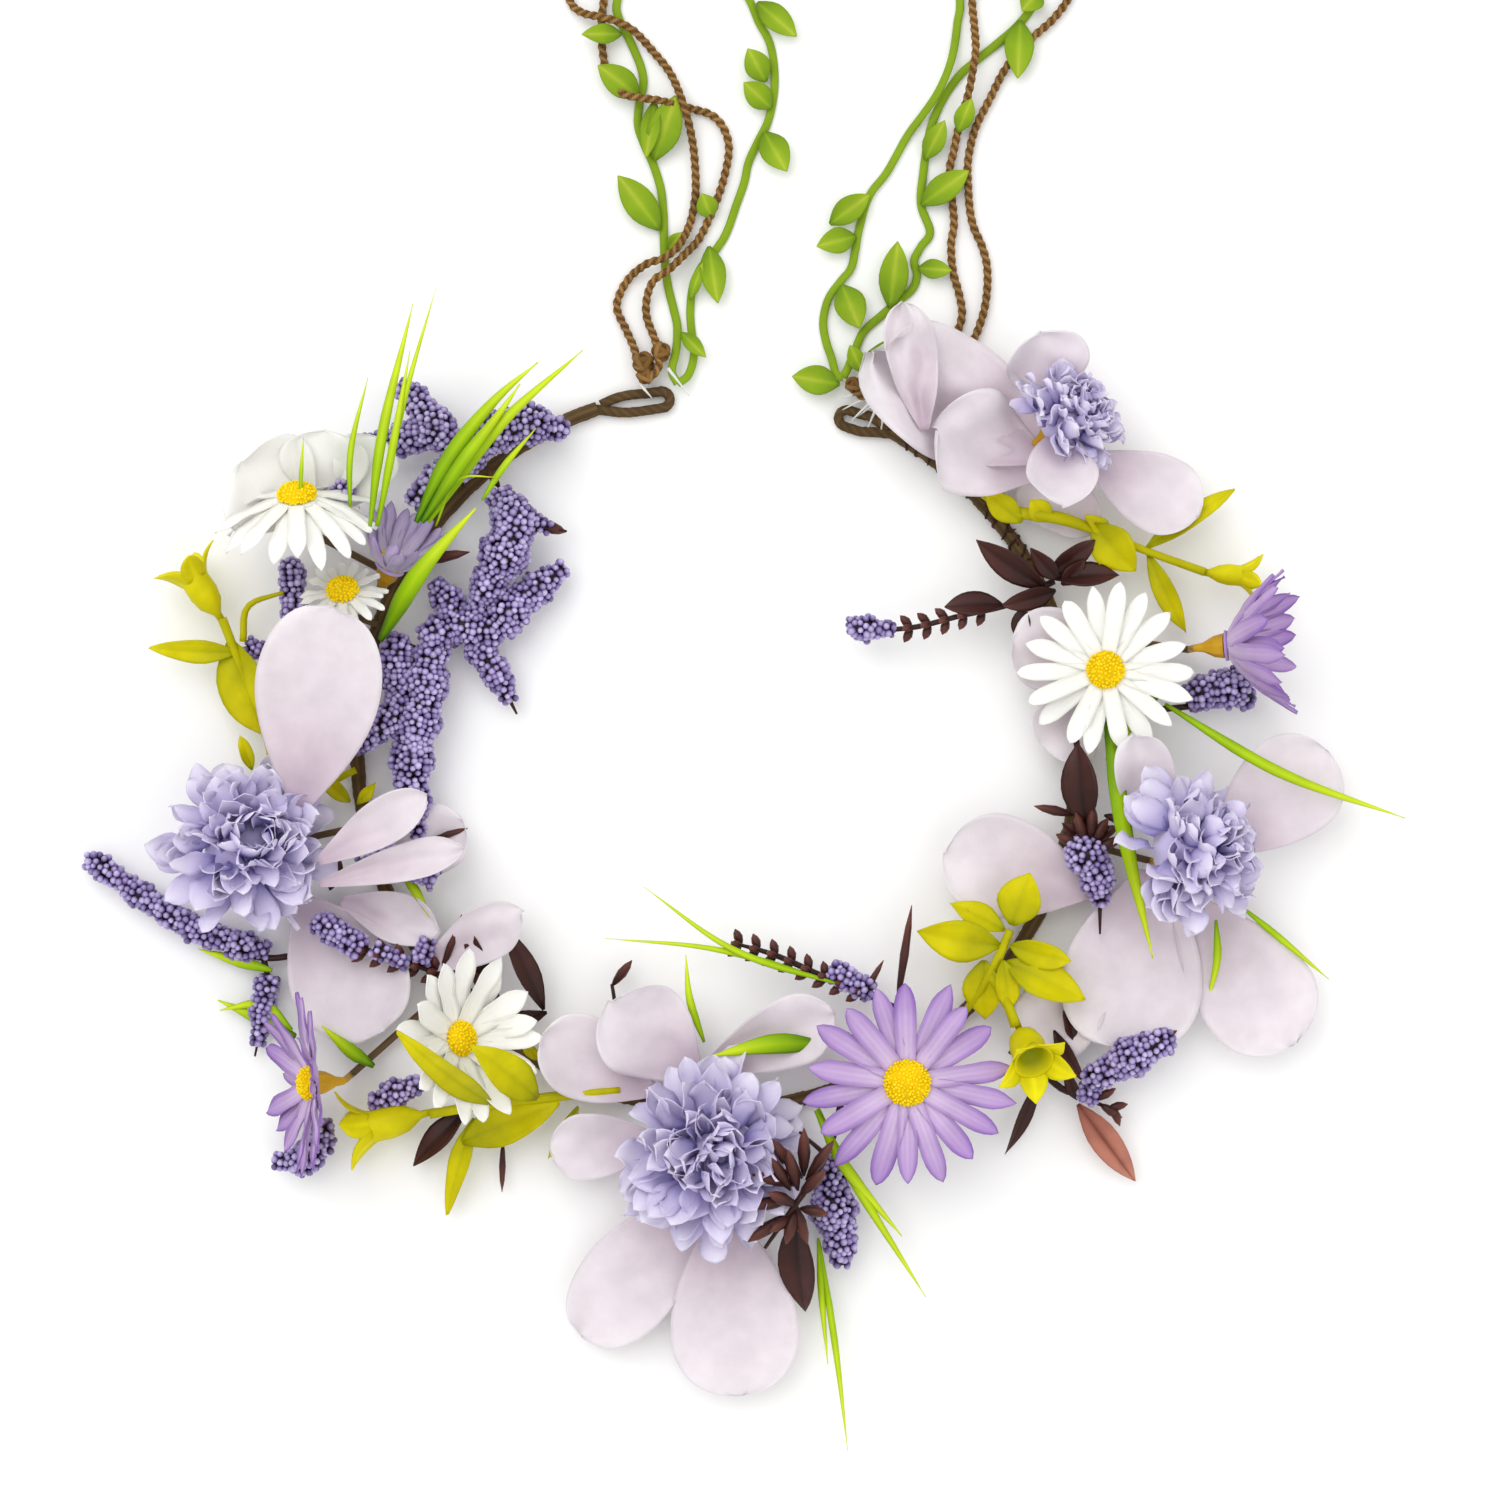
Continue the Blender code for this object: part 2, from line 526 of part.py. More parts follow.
def stem_route(matrix, swing_deg):
    """A calyx's stem: down its own axis, to the level of the ring's top, and in to the ring."""
    foot = matrix @ Vector((0.0, 0.0, -CALYX_DROP * MM))
    centre = Vector((*RING_CENTRE, 0.0)) * MM
    outward = Vector((foot.x, foot.y, 0.0)) - centre
    outward = Matrix.Rotation(math.radians(swing_deg), 3, "Z") @ outward.normalized()
    anchor = centre + outward * RING_RADIUS * MM
    anchor.z = STEM_HEIGHT * MM
    low = Vector((foot.x, foot.y, STEM_HEIGHT * MM))
    return foot, low, anchor


def build_calyx(name, matrix, peg_top, collection):
    """A moulded peg, cup and wired stem in one piece, from the peg's top to the ring."""
    foot, low, anchor = stem_route(matrix, STEM_SWINGS_DEG.get(name, 0.0))
    levels = [
        (peg_top, PEG_RADIUS),
        (-GAP, PEG_RADIUS),
        (-GAP - CALYX_SHOULDER, CALYX_RADIUS),
        (-CALYX_WAIST_DEPTH, CALYX_RADIUS * CALYX_WAIST_SHARE),
        (-CALYX_FOOT_DEPTH, STEM_RADIUS * CALYX_FOOT_SHARE),
    ]
    points = [matrix @ Vector((0.0, 0.0, z * MM)) for z, _ in levels]
    widths = [r for _, r in levels]
    points.append(foot)
    widths.append(STEM_RADIUS)
    if (low - foot).length > 0.5 * MM:
        points.append(low)
        widths.append(STEM_RADIUS)
    if (anchor - points[-1]).length > 3 * MM:
        points.append(anchor)
        widths.append(STEM_RADIUS)
    stem = tube_curve(name, points, MM, 8, widths=widths)
    add_object(name, stem, collection, "calyx")


def build_whorl(name, matrix, reach, cup_deg, button_radius, collection, finish):
    """A daisy's petals: a scalloped cone with a flat hub and a hole for the peg."""
    hub = button_radius + 0.6
    cup = math.radians(cup_deg)
    count = PETALS * 2
    rows = ((WHORL_HOLE, 0.0, 0.0), (hub, 0.0, 0.0), (hub, reach - hub, 1.0))
    shape = bmesh.new()
    rings = []
    for radius, run, scallop in rows:
        ring = []
        for i in range(count):
            angle = 2 * math.pi * i / count
            share = 1.0 - (1.0 - PETAL_VALLEY) * scallop * (i % 2)
            out = radius + run * share * math.cos(cup)
            rise = run * share * math.sin(cup)
            ring.append(shape.verts.new((out * MM * math.cos(angle), out * MM * math.sin(angle), rise * MM)))
        rings.append(ring)
    for inner, outer in zip(rings, rings[1:]):
        for i in range(count):
            j = (i + 1) % count
            shape.faces.new((inner[i], outer[i], outer[j], inner[j]))
    mesh = bpy.data.meshes.new(name)
    shape.to_mesh(mesh)
    shape.free()
    whorl = add_object(name, mesh, collection, finish)
    sheet = whorl.modifiers.new("sheet", "SOLIDIFY")
    sheet.thickness = WHORL_THICKNESS * MM
    sheet.offset = 1.0
    whorl.matrix_world = matrix


def build_daisies(collection):
    """Each daisy as a whorl that turns on its peg, a button pressed on the peg, and a calyx."""
    for name, (place, tilt, heading, reach, cup, button) in DAISIES.items():
        matrix = flower_matrix(place, tilt, heading)
        finish = "white_petal" if name.startswith("white") else "lilac_petal"
        build_whorl(f"{name}_petals", matrix, reach, cup, button, collection, finish)
        floor = WHORL_THICKNESS + GAP
        socket = floor + BUTTON_SOCKET
        profile = [
            (0.0, floor + BUTTON_HEIGHT),
            (button * 0.5, floor + BUTTON_HEIGHT * 0.92),
            (button * 0.85, floor + BUTTON_HEIGHT * 0.6),
            (button, floor + BUTTON_HEIGHT * 0.2),
            (button * 0.96, floor),
            (PEG_RADIUS + GAP, floor),
            (PEG_RADIUS + GAP, socket),
            (0.0, socket),
        ]
        turned(f"{name}_button", profile, matrix, BUTTON_STEPS, collection, "button")
        build_calyx(f"{name}_calyx", matrix, socket - GAP, collection)


def build_pompons(collection):
    """Each pompon as a tiered head with a socket, on a calyx."""
    for name, (place, tilt, heading, radius) in POMPONS.items():
        matrix = flower_matrix(place, tilt, heading)
        tiers = [
            (0.0, 0.86),
            (0.3, 0.84),
            (0.52, 0.74),
            (0.74, 0.7),
            (0.8, 0.56),
            (0.95, 0.46),
            (0.9, 0.32),
            (1.0, 0.2),
            (0.55, 0.0),
        ]
        profile = [(radius * r, radius * z) for r, z in tiers]
        profile += [(PEG_RADIUS + GAP, 0.0), (PEG_RADIUS + GAP, HEAD_SOCKET), (0.0, HEAD_SOCKET)]
        turned(f"{name}_head", profile, matrix, HEAD_STEPS, collection, "pompon")
        build_calyx(f"{name}_calyx", matrix, HEAD_SOCKET - GAP, collection)


def petal_reach(angle_deg, petals):
    """How far a blossom's outline stands from its middle at an angle."""
    reach = BLOSSOM_HEART
    for heading, length, width in petals:
        spread = math.degrees(math.atan2(width / 2, length * 0.62))
        off = abs((angle_deg - heading + 180.0) % 360.0 - 180.0) / spread
        if off < 1.0:
            reach = max(reach, BLOSSOM_HEART + (length - BLOSSOM_HEART) * (1.0 - off**2.5) ** 0.5)
    return reach


def build_blossoms(collection):
    """Each silk blossom as a thin lobed plate, threaded on its flower's stem by a hole."""
    flowers = {**{k: v[:3] for k, v in POMPONS.items()}, **{k: v[:3] for k, v in DAISIES.items()}}
    for name, (flower, petals) in BLOSSOMS.items():
        foot = flower_matrix(*flowers[flower]) @ Vector((0.0, 0.0, -CALYX_DROP * MM))
        curve = bpy.data.curves.new(name, "CURVE")
        curve.dimensions = "2D"
        curve.fill_mode = "BOTH"
        curve.extrude = BLOSSOM_THICKNESS / 2 * MM
        for count, reach in ((BLOSSOM_POINTS, None), (10, BLOSSOM_HOLE)):
            spline = curve.splines.new("POLY")
            spline.points.add(count - 1)
            spline.use_cyclic_u = True
            for i, point in enumerate(spline.points):
                angle = 360.0 * i / count
                out = (reach or petal_reach(angle, petals)) * MM
                point.co = (out * math.cos(math.radians(angle)), out * math.sin(math.radians(angle)), 0.0, 1.0)
        plate = add_object(name, curve, collection, "silk")
        plate.location = (foot.x, foot.y, BLOSSOM_HEIGHT * MM)


def solid_from_curve(name, curve):
    """The mesh of a bevelled curve with its caps welded on; the curve is removed."""
    guide = bpy.data.objects.new(name, curve)
    bpy.context.scene.collection.objects.link(guide)
    bpy.context.view_layer.update()
    mesh = bpy.data.meshes.new_from_object(guide.evaluated_get(bpy.context.evaluated_depsgraph_get()))
    bpy.data.objects.remove(guide, do_unlink=True)
    shape = bmesh.new()
    shape.from_mesh(mesh)
    bmesh.ops.remove_doubles(shape, verts=shape.verts, dist=0.000001)
    shape.to_mesh(mesh)
    shape.free()
    return mesh


def build_branching(name, runs, sides, collections, finish):
    """A branching solid: one tapered tube for each run of points, joined into one body."""
    collection, joined = collections
    trunk = None
    for i, run in enumerate(runs):
        widths = [radius for _, _, _, radius in run]
        mesh = solid_from_curve(f"{name}_run", tube_curve(name, metres(run), MM, sides, widths=widths))
        if trunk is None:
            trunk = add_object(name, mesh, collection, finish)
            continue
        branch = bpy.data.objects.new(f"{name}_branch_{i}", mesh)
        joined.objects.link(branch)
        branch.hide_render = True
        branch.display_type = "WIRE"
        join = trunk.modifiers.new(f"branch_{i}", "BOOLEAN")
        join.operation = "UNION"
        join.object = branch


def coil_contact(side, angle_deg, radius):
    """Where a cord's centreline stops, just outside its coil."""
    centre = COIL_CENTRES[side]
    out = COIL_RADII[1] + GAP + radius
    angle = math.radians(angle_deg)
    return Vector((centre[0] + out * math.cos(angle), centre[1] + out * math.sin(angle), radius + 0.1)) * MM


def build_ties(collection):
    """The folded tie cords as plain tubes, and the stored length of each side as one coil."""
    for name, (side, radius, contacts, points) in TIES.items():
        first, last = (coil_contact(side, angle, radius) for angle in contacts)
        route = smooth_route([first, *metres(points), last], ROUTE_SPACING * MM)
        finish = "jute" if name.startswith("jute") else "ribbon"
        add_object(name, tube_curve(name, route, radius * MM, 8), collection, finish)
    inner, outer = COIL_RADII
    for side, centre in COIL_CENTRES.items():
        profile = [
            (inner + COIL_EDGE, COIL_HEIGHT),
            (outer - COIL_EDGE, COIL_HEIGHT),
            (outer, COIL_HEIGHT - COIL_EDGE),
            (outer, COIL_EDGE),
            (outer - COIL_EDGE, 0.1),
            (inner + COIL_EDGE, 0.1),
            (inner, COIL_EDGE),
            (inner, COIL_HEIGHT - COIL_EDGE),
            (inner + COIL_EDGE, COIL_HEIGHT),
        ]
        place = Matrix.Translation(Vector((*centre, 0.0)) * MM)
        turned(f"tie_coil_{side}", profile, place, COIL_STEPS, collection, "coil")


def main():
    clear_scene()
    collection = bpy.data.collections.new("flower_crown")
    bpy.context.scene.collection.children.link(collection)
    build_ring(collection)
    build_daisies(collection)
    build_pompons(collection)
    build_blossoms(collection)
    joined = bpy.data.collections.new("joined_branches")
    bpy.context.scene.collection.children.link(joined)
    for plants, sides, finish in ((BEAD_SPRAYS, 8, "beads"), (BELL_PICKS, 8, "lime"), (GRASS_TUFTS, 6, "grass")):
        for name, runs in plants.items():
            build_branching(name, runs, sides, (collection, joined), finish)
    build_ties(collection)


main()
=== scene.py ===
"""Flower crown, the looks: every visible surface of the crown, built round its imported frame.

Lengths in this file are millimetres in the crown's own frame unless a name says otherwise; MM turns
them to metres where a mesh is written. +Z is up from the table and +Y runs to the open, tied end.
"""

import json
import logging
import math
from dataclasses import dataclass, field
from enum import Enum
from typing import Callable, Iterable, Sequence

import bpy
import numpy as np
from mathutils import Matrix, Vector


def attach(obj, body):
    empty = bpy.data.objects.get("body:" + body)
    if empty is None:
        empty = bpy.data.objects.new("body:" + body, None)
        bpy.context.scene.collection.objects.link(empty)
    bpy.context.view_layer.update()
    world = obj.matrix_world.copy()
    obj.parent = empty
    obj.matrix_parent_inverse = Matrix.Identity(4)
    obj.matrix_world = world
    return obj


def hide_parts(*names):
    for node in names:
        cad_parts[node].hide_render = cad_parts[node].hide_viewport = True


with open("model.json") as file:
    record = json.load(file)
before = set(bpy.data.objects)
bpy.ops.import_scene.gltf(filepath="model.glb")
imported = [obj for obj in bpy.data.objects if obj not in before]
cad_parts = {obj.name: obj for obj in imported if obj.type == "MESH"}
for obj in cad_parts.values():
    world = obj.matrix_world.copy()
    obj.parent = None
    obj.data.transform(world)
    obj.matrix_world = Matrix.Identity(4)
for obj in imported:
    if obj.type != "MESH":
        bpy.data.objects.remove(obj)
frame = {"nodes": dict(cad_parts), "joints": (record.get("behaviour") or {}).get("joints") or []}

logging.basicConfig(level=logging.INFO, format="%(message)s")
LOG = logging.getLogger("flower_crown")

MM = 0.001
CROWN = "crown"
GOLDEN_ANGLE = math.pi * (3.0 - math.sqrt(5.0))
# Height under which a piece is eased on to the table instead of sinking into it
TABLE_EASE = 0.4
# Divisions of a smooth curve between two given points
CURVE_STEPS = 12
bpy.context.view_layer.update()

Point = Sequence[float]
Spot = tuple[float, float, float]
Faces = list[tuple[int, ...]]
Grid = tuple[np.ndarray, np.ndarray]


# --------------------------------------------------------------------------------------------------
# Finishes
# --------------------------------------------------------------------------------------------------


class Pattern(Enum):
    """How a surface was made, which sets its relief."""

    WEAVE = "woven cloth"
    GRAIN = "moulded or foamed grain"
    FIBRE = "drawn fibres"
    CREPE = "crinkled paper"


@dataclass(frozen=True)
class Finish:
    """One real material: its colours from deep to light, its gloss and its relief.

    The mesh attribute "tone" runs from 0 (deep) to 1 (light) over each piece; a finish that isn't
    toned takes its shades from cloudy noise instead.
    """

    name: str
    deep: str
    main: str
    light: str
    roughness: float
    pattern: Pattern
    pattern_mm: float
    relief_mm: float = 0.05
    sheen: float = 0.0
    coat: float = 0.0
    scatter: float = 0.0
    metallic: float = 0.0
    alpha: float = 1.0
    mottle: float = 0.12
    toned: bool = True
    specular: float = 0.25

    def material(self) -> bpy.types.Material:
        """The Blender material of this finish, made once."""
        found = bpy.data.materials.get(self.name)
        return found or build_material(self)


def linear_colour(hex_colour: str) -> tuple[float, float, float, float]:
    """A colour written as sRGB hex, as the linear values a shader takes.

    Args:
        hex_colour: Six hex digits, such as "F7C810".

    Returns:
        Linear red, green, blue and an alpha of 1.
    """
    channels = [int(hex_colour[i : i + 2], 16) / 255 for i in (0, 2, 4)]
    made = [c / 12.92 if c <= 0.04045 else ((c + 0.055) / 1.055) ** 2.4 for c in channels]
    return (made[0], made[1], made[2], 1.0)


def add_node(
    tree: bpy.types.NodeTree,
    kind: str,
    settings: dict[str, object] | None = None,
    inputs: dict[str | int, object] | None = None,
) -> bpy.types.Node:
    """Adds a node with its settings, values and links.

    Args:
        tree: The shader or geometry tree.
        kind: The node's type name.
        settings: Properties of the node itself.
        inputs: For each input socket, a value or the output socket that feeds it.

    Returns:
        The new node.
    """
    node = tree.nodes.new(kind)
    for key, value in (settings or {}).items():
        setattr(node, key, value)
    for key, value in (inputs or {}).items():
        socket = node.inputs[key]
        if isinstance(value, bpy.types.NodeSocket):
            tree.links.new(value, socket)
        else:
            socket.default_value = value
    return node


def relief_height(
    tree: bpy.types.NodeTree, where: bpy.types.NodeSocket, finish: Finish
) -> bpy.types.NodeSocket:
    """The height pattern of a finish.

    Args:
        tree: The material's tree.
        where: Object coordinates.
        finish: The finish, with its pattern and real scale.

    Returns:
        A value from 0 to 1.
    """
    period = finish.pattern_mm * MM
    if finish.pattern is Pattern.WEAVE:
        # A wave texture's bands repeat every 2 pi / 20 of its scale.
        scale = 2 * math.pi / (20 * period)
        warp, weft = (
            add_node(
                tree,
                "ShaderNodeTexWave",
                {"wave_type": "BANDS", "bands_direction": way},
                {"Vector": where, "Scale": scale, "Distortion": 0.6},
            ).outputs["Fac"]
            for way in ("X", "Y")
        )
        return add_node(tree, "ShaderNodeMath", {"operation": "MAXIMUM"}, {0: warp, 1: weft}).outputs[0]
    if finish.pattern is Pattern.FIBRE:
        stretched = add_node(
            tree, "ShaderNodeMapping", None, {"Vector": where, "Scale": (1 / period, 1 / period, 0.2 / period)}
        ).outputs[0]
        return add_node(tree, "ShaderNodeTexNoise", None, {"Vector": stretched, "Scale": 1.0}).outputs["Fac"]
    if finish.pattern is Pattern.CREPE:
        ridges = {"Vector": where, "Scale": 1 / period, "Detail": 6.0, "Roughness": 0.7, "Distortion": 1.2}
        return add_node(tree, "ShaderNodeTexNoise", None, ridges).outputs["Fac"]
    cells = {"Vector": where, "Scale": 1 / period, "Randomness": 1.0}
    return add_node(tree, "ShaderNodeTexVoronoi", {"feature": "SMOOTH_F1"}, cells).outputs["Distance"]


def build_material(finish: Finish) -> bpy.types.Material:
    """Builds a finish as nodes: tone, mottle, uneven gloss and relief.

    Args:
        finish: What the real material is.

    Returns:
        The material.
    """
    material = bpy.data.materials.new(finish.name)
    material.use_nodes = True
    tree = material.node_tree
    shader = tree.nodes["Principled BSDF"]
    where = add_node(tree, "ShaderNodeTexCoord").outputs["Object"]
    tone = add_node(tree, "ShaderNodeAttribute", {"attribute_name": "tone"}).outputs["Fac"]
    cloud = add_node(tree, "ShaderNodeTexNoise", None, {"Vector": where, "Scale": 140.0, "Detail": 4.0})
    ramp = add_node(tree, "ShaderNodeValToRGB", None, {"Fac": tone if finish.toned else cloud.outputs["Fac"]})
    ramp.color_ramp.elements[0].color = linear_colour(finish.deep)
    ramp.color_ramp.elements[1].color = linear_colour(finish.light)
    ramp.color_ramp.elements.new(0.5).color = linear_colour(finish.main)
    shade = add_node(
        tree,
        "ShaderNodeMapRange",
        None,
        {
            "Value": cloud.outputs["Fac"],
            "From Min": 0.3,
            "From Max": 0.7,
            "To Min": 1.0 - finish.mottle,
            "To Max": 1.0,
        },
    )
    height = relief_height(tree, where, finish)
    mixed = add_node(
        tree,
        "ShaderNodeMix",
        {"data_type": "RGBA", "blend_type": "MULTIPLY"},
        {0: 1.0, 6: ramp.outputs["Color"], 7: shade.outputs["Result"]},
    )
    gloss = add_node(
        tree,
        "ShaderNodeMapRange",
        None,
        {
            "Value": height,
            "To Min": max(0.05, finish.roughness - 0.08),
            "To Max": min(1.0, finish.roughness + 0.08),
        },
    )
    bump = add_node(
        tree, "ShaderNodeBump", None, {"Height": height, "Strength": 0.6, "Distance": finish.relief_mm * MM}
    )
    tree.links.new(mixed.outputs[2], shader.inputs["Base Color"])
    tree.links.new(gloss.outputs["Result"], shader.inputs["Roughness"])
    tree.links.new(bump.outputs["Normal"], shader.inputs["Normal"])
    shader.inputs["Metallic"].default_value = finish.metallic
    shader.inputs["Specular IOR Level"].default_value = finish.specular
    shader.inputs["Sheen Weight"].default_value = finish.sheen
    shader.inputs["Coat Weight"].default_value = finish.coat
    shader.inputs["Coat Roughness"].default_value = 0.3
    shader.inputs["Subsurface Weight"].default_value = finish.scatter
    shader.inputs["Subsurface Radius"].default_value = (1.0, 0.8, 0.9)
    shader.inputs["Subsurface Scale"].default_value = 0.0015
    shader.inputs["Alpha"].default_value = finish.alpha
    return material


# Polyester cloth, heat-pressed into petals: soft, matt, a fine weave drawn at 0.5 mm so that it shows.
WHITE_CLOTH = Finish(
    "white_polyester_cloth", "D6D5C9", "F9F8F1", "FFFFFD", 0.8, Pattern.WEAVE, 0.5, 0.04, 0.1,
    scatter=0.1, mottle=0.04,
)
LILAC_CLOTH = Finish(
    "lilac_polyester_cloth", "8A62B4", "C2A4D4", "E2D0EA", 0.8, Pattern.WEAVE, 0.5, 0.04, 0.1,
    scatter=0.08, mottle=0.12,
)
PALE_LILAC_CLOTH = Finish(
    "pale_lilac_polyester_cloth", "A48CC4", "CDBEE2", "E8DFF2", 0.8, Pattern.WEAVE, 0.5, 0.04, 0.1,
    scatter=0.08, mottle=0.1,
)
# Its deep shade is painted shade: at the feet of the pompons' crowded petals and in the bud's hollow.
PERIWINKLE_CLOTH = Finish(
    "periwinkle_polyester_cloth", "9088C8", "D6CCEC", "F6F2FC", 0.82, Pattern.WEAVE, 0.5, 0.04, 0.1,
    scatter=0.1, mottle=0.08,
)
# Sheer silk organza: pale, a slight satin gloss, lets light through.
ORGANZA = Finish(
    "lilac_silk_organza", "C4AEBE", "E4D6DE", "F7F1F5", 0.55, Pattern.WEAVE, 0.45, 0.03, 0.3,
    scatter=0.15, alpha=0.95, mottle=0.12,
)
WHITE_ORGANZA = Finish(
    "white_silk_organza", "D2D0CA", "F0EFEA", "FCFCFA", 0.55, Pattern.WEAVE, 0.45, 0.03, 0.3,
    scatter=0.15, alpha=0.9, mottle=0.05,
)
# Flocked foam button: granular and fully matt. Its grains carry painted light: lighter on each grain's top,
# darker down its sides, a painted highlight and painted shade.
YELLOW_FLOCK = Finish(
    "yellow_flocked_foam", "EEC200", "FCDF00", "FFF03C", 0.95, Pattern.GRAIN, 0.35, 0.1,
    mottle=0.06,
)
# The cut foam under the flock: duller and darker.
YELLOW_CORE = Finish(
    "yellow_foam", "DCAC00", "EEC400", "F8D410", 0.95, Pattern.GRAIN, 0.5, 0.1,
    mottle=0.15, toned=False,
)
# Moulded polyethylene, as on artificial greenery: waxy, soft gloss.
CALYX_PLASTIC = Finish(
    "ochre_moulded_polyethylene", "9A6A08", "C0900F", "D6AC2E", 0.45, Pattern.GRAIN, 0.6, 0.03,
    toned=False,
)
LIME_PLASTIC = Finish(
    "lime_moulded_polyethylene", "858E00", "D2C800", "F6EA10", 0.5, Pattern.GRAIN, 0.7, 0.03,
    mottle=0.22, specular=0.12,
)
GRASS_PLASTIC = Finish(
    "grass_moulded_polyethylene", "2E6804", "97BE08", "DDEC2E", 0.42, Pattern.FIBRE, 0.5, 0.03,
    mottle=0.14, specular=0.12,
)
BURGUNDY_PLASTIC = Finish(
    "burgundy_moulded_polyethylene", "1E0C0A", "46231E", "7E483C", 0.42, Pattern.GRAIN, 0.7, 0.04,
    coat=0.05, mottle=0.35, specular=0.2,
)
CORAL_PLASTIC = Finish(
    "coral_moulded_polyethylene", "7A3A2C", "BE7A66", "DFA892", 0.4, Pattern.GRAIN, 0.7, 0.03,
    mottle=0.25,
)
# Dyed expanded-polystyrene beads on a dark core, that core partly the real twig and partly painted shade in the
# gaps between beads: round, half glossy, each with a small highlight, partly real gloss and partly a painted
# highlight on its top, with painted shade down its sides.
VIOLET_FOAM = Finish(
    "violet_foam_beads", "2E1F48", "77639F", "CFC2EE", 0.4, Pattern.GRAIN, 0.4, 0.02,
    mottle=0.15, specular=0.6,
)
# Two-ply jute twine: dry, hairy, brown. On the twine its deep shade is painted shade in the grooves between the
# plies and its light shade a painted highlight on their crests.
JUTE = Finish(
    "two_ply_jute", "3E2810", "86602F", "CCA36A", 0.95, Pattern.FIBRE, 0.3, 0.15,
    mottle=0.35,
)
# Crepe florist's tape, stretched as it is wound.
TAPE = Finish(
    "brown_crepe_florist_tape", "33261A", "604A2C", "8C7248", 0.9, Pattern.CREPE, 0.6, 0.14,
    mottle=0.35,
)
# Satin leaf ribbon, die-cut cloth with a pale pressed midrib.
LEAF_CLOTH = Finish(
    "green_leaf_ribbon_cloth", "4C7204", "88A80C", "C2CE3E", 0.65, Pattern.WEAVE, 0.5, 0.05, 0.1,
    mottle=0.16,
)
# Drawn and zinc-coated steel wire: grey, half dull, seen only where the tape leaves it bare.
GALVANISED = Finish(
    "galvanised_wire", "5E5C58", "8C8A86", "A8A6A0", 0.45, Pattern.GRAIN, 1.5, 0.02,
    metallic=1.0, toned=False,
)
# Hot-melt glue pulled into strands: milky, smooth, lets some light through.
HOT_GLUE = Finish(
    "hot_melt_glue", "D8D8D0", "ECECE6", "F8F8F4", 0.3, Pattern.GRAIN, 1.2, 0.05,
    scatter=0.2, alpha=0.85,
)


# --------------------------------------------------------------------------------------------------
# Mesh making
# --------------------------------------------------------------------------------------------------


def placed(place: Point, heading: float, rise: float = 0.0, roll: float = 0.0) -> Matrix:
    """Where a part that grows along +X stands.

    Args:
        place: Its base, in millimetres.
        heading: The way it grows, in degrees from +X.
        rise: How far it points up, in degrees.
        roll: Its turn about its own length, in degrees.

    Returns:
        The matrix, in millimetres.
    """
    turn = Matrix.Rotation(math.radians(heading), 4, "Z") @ Matrix.Rotation(-math.radians(rise), 4, "Y")
    return Matrix.Translation(Vector(place)) @ turn @ Matrix.Rotation(math.radians(roll), 4, "X")


def facing(place: Point, axis: Point) -> Matrix:
    """Where a flower stands whose face looks along an axis.

    Args:
        place: Its hub, in millimetres.
        axis: The way it faces.

    Returns:
        The matrix that takes +Z to the axis, in millimetres.
    """
    way = Vector(axis).normalized()
    heading = math.atan2(way.y, way.x)
    tilt = math.acos(max(-1.0, min(1.0, way.z)))
    turn = Matrix.Rotation(heading, 4, "Z") @ Matrix.Rotation(tilt, 4, "Y")
    return Matrix.Translation(Vector(place)) @ turn


def moved(points: np.ndarray, matrix: Matrix) -> np.ndarray:
    """Points taken through a matrix."""
    m = np.array(matrix)
    return points @ m[:3, :3].T + m[:3, 3]


def on_table(points: np.ndarray) -> np.ndarray:
    """Eases points that would sink into the table on to it, the lowest still the lowest.

    Args:
        points: The points.

    Returns:
        The points, none of them under the table.
    """
    depth = np.minimum(points[:, 2] - TABLE_EASE, 0)
    eased = points.copy()
    eased[:, 2] = np.where(points[:, 2] < TABLE_EASE, TABLE_EASE * np.exp(depth / 2), points[:, 2])
    return eased


@dataclass
class MeshParts:
    """Closed shells that become one mesh; each is turned to face outwards as it is added."""

    points: list[np.ndarray] = field(default_factory=list)
    faces: Faces = field(default_factory=list)
    tones: list[np.ndarray] = field(default_factory=list)
    count: int = 0

    def add(self, points: np.ndarray, faces: Faces, tones: np.ndarray) -> None:
        """Adds one closed shell.

        Args:
            points: Its corners, in millimetres.
            faces: Its faces, as indices of its own corners.
            tones: A tone for each corner.
        """
        volume = 0.0
        for f in faces:
            a = points[f[0]]
            for b, c in zip(f[1:], f[2:]):
                volume += float(np.dot(a, np.cross(points[b], points[c])))
        ordered = faces if volume > 0 else [f[::-1] for f in faces]
        self.faces += [tuple(i + self.count for i in f) for f in ordered]
        self.points.append(points)
        self.tones.append(np.broadcast_to(np.clip(tones, 0.0, 1.0), (len(points),)))
        self.count += len(points)

    def build(self, name: str, finish: Finish) -> bpy.types.Object:
        """Makes the object.

        Args:
            name: The piece's name.
            finish: What it is made of.

        Returns:
            An object at the origin with its place in its mesh.
        """
        mesh = bpy.data.meshes.new(name)
        mesh.from_pydata((on_table(np.vstack(self.points)) * MM).tolist(), [], self.faces)
        tone = mesh.attributes.new("tone", "FLOAT", "POINT")
        tone.data.foreach_set("value", np.concatenate(self.tones).astype(np.float32))
        mesh.materials.append(finish.material())
        mesh.shade_smooth()
        piece = bpy.data.objects.new(name, mesh)
        bpy.context.scene.collection.objects.link(piece)
        return piece


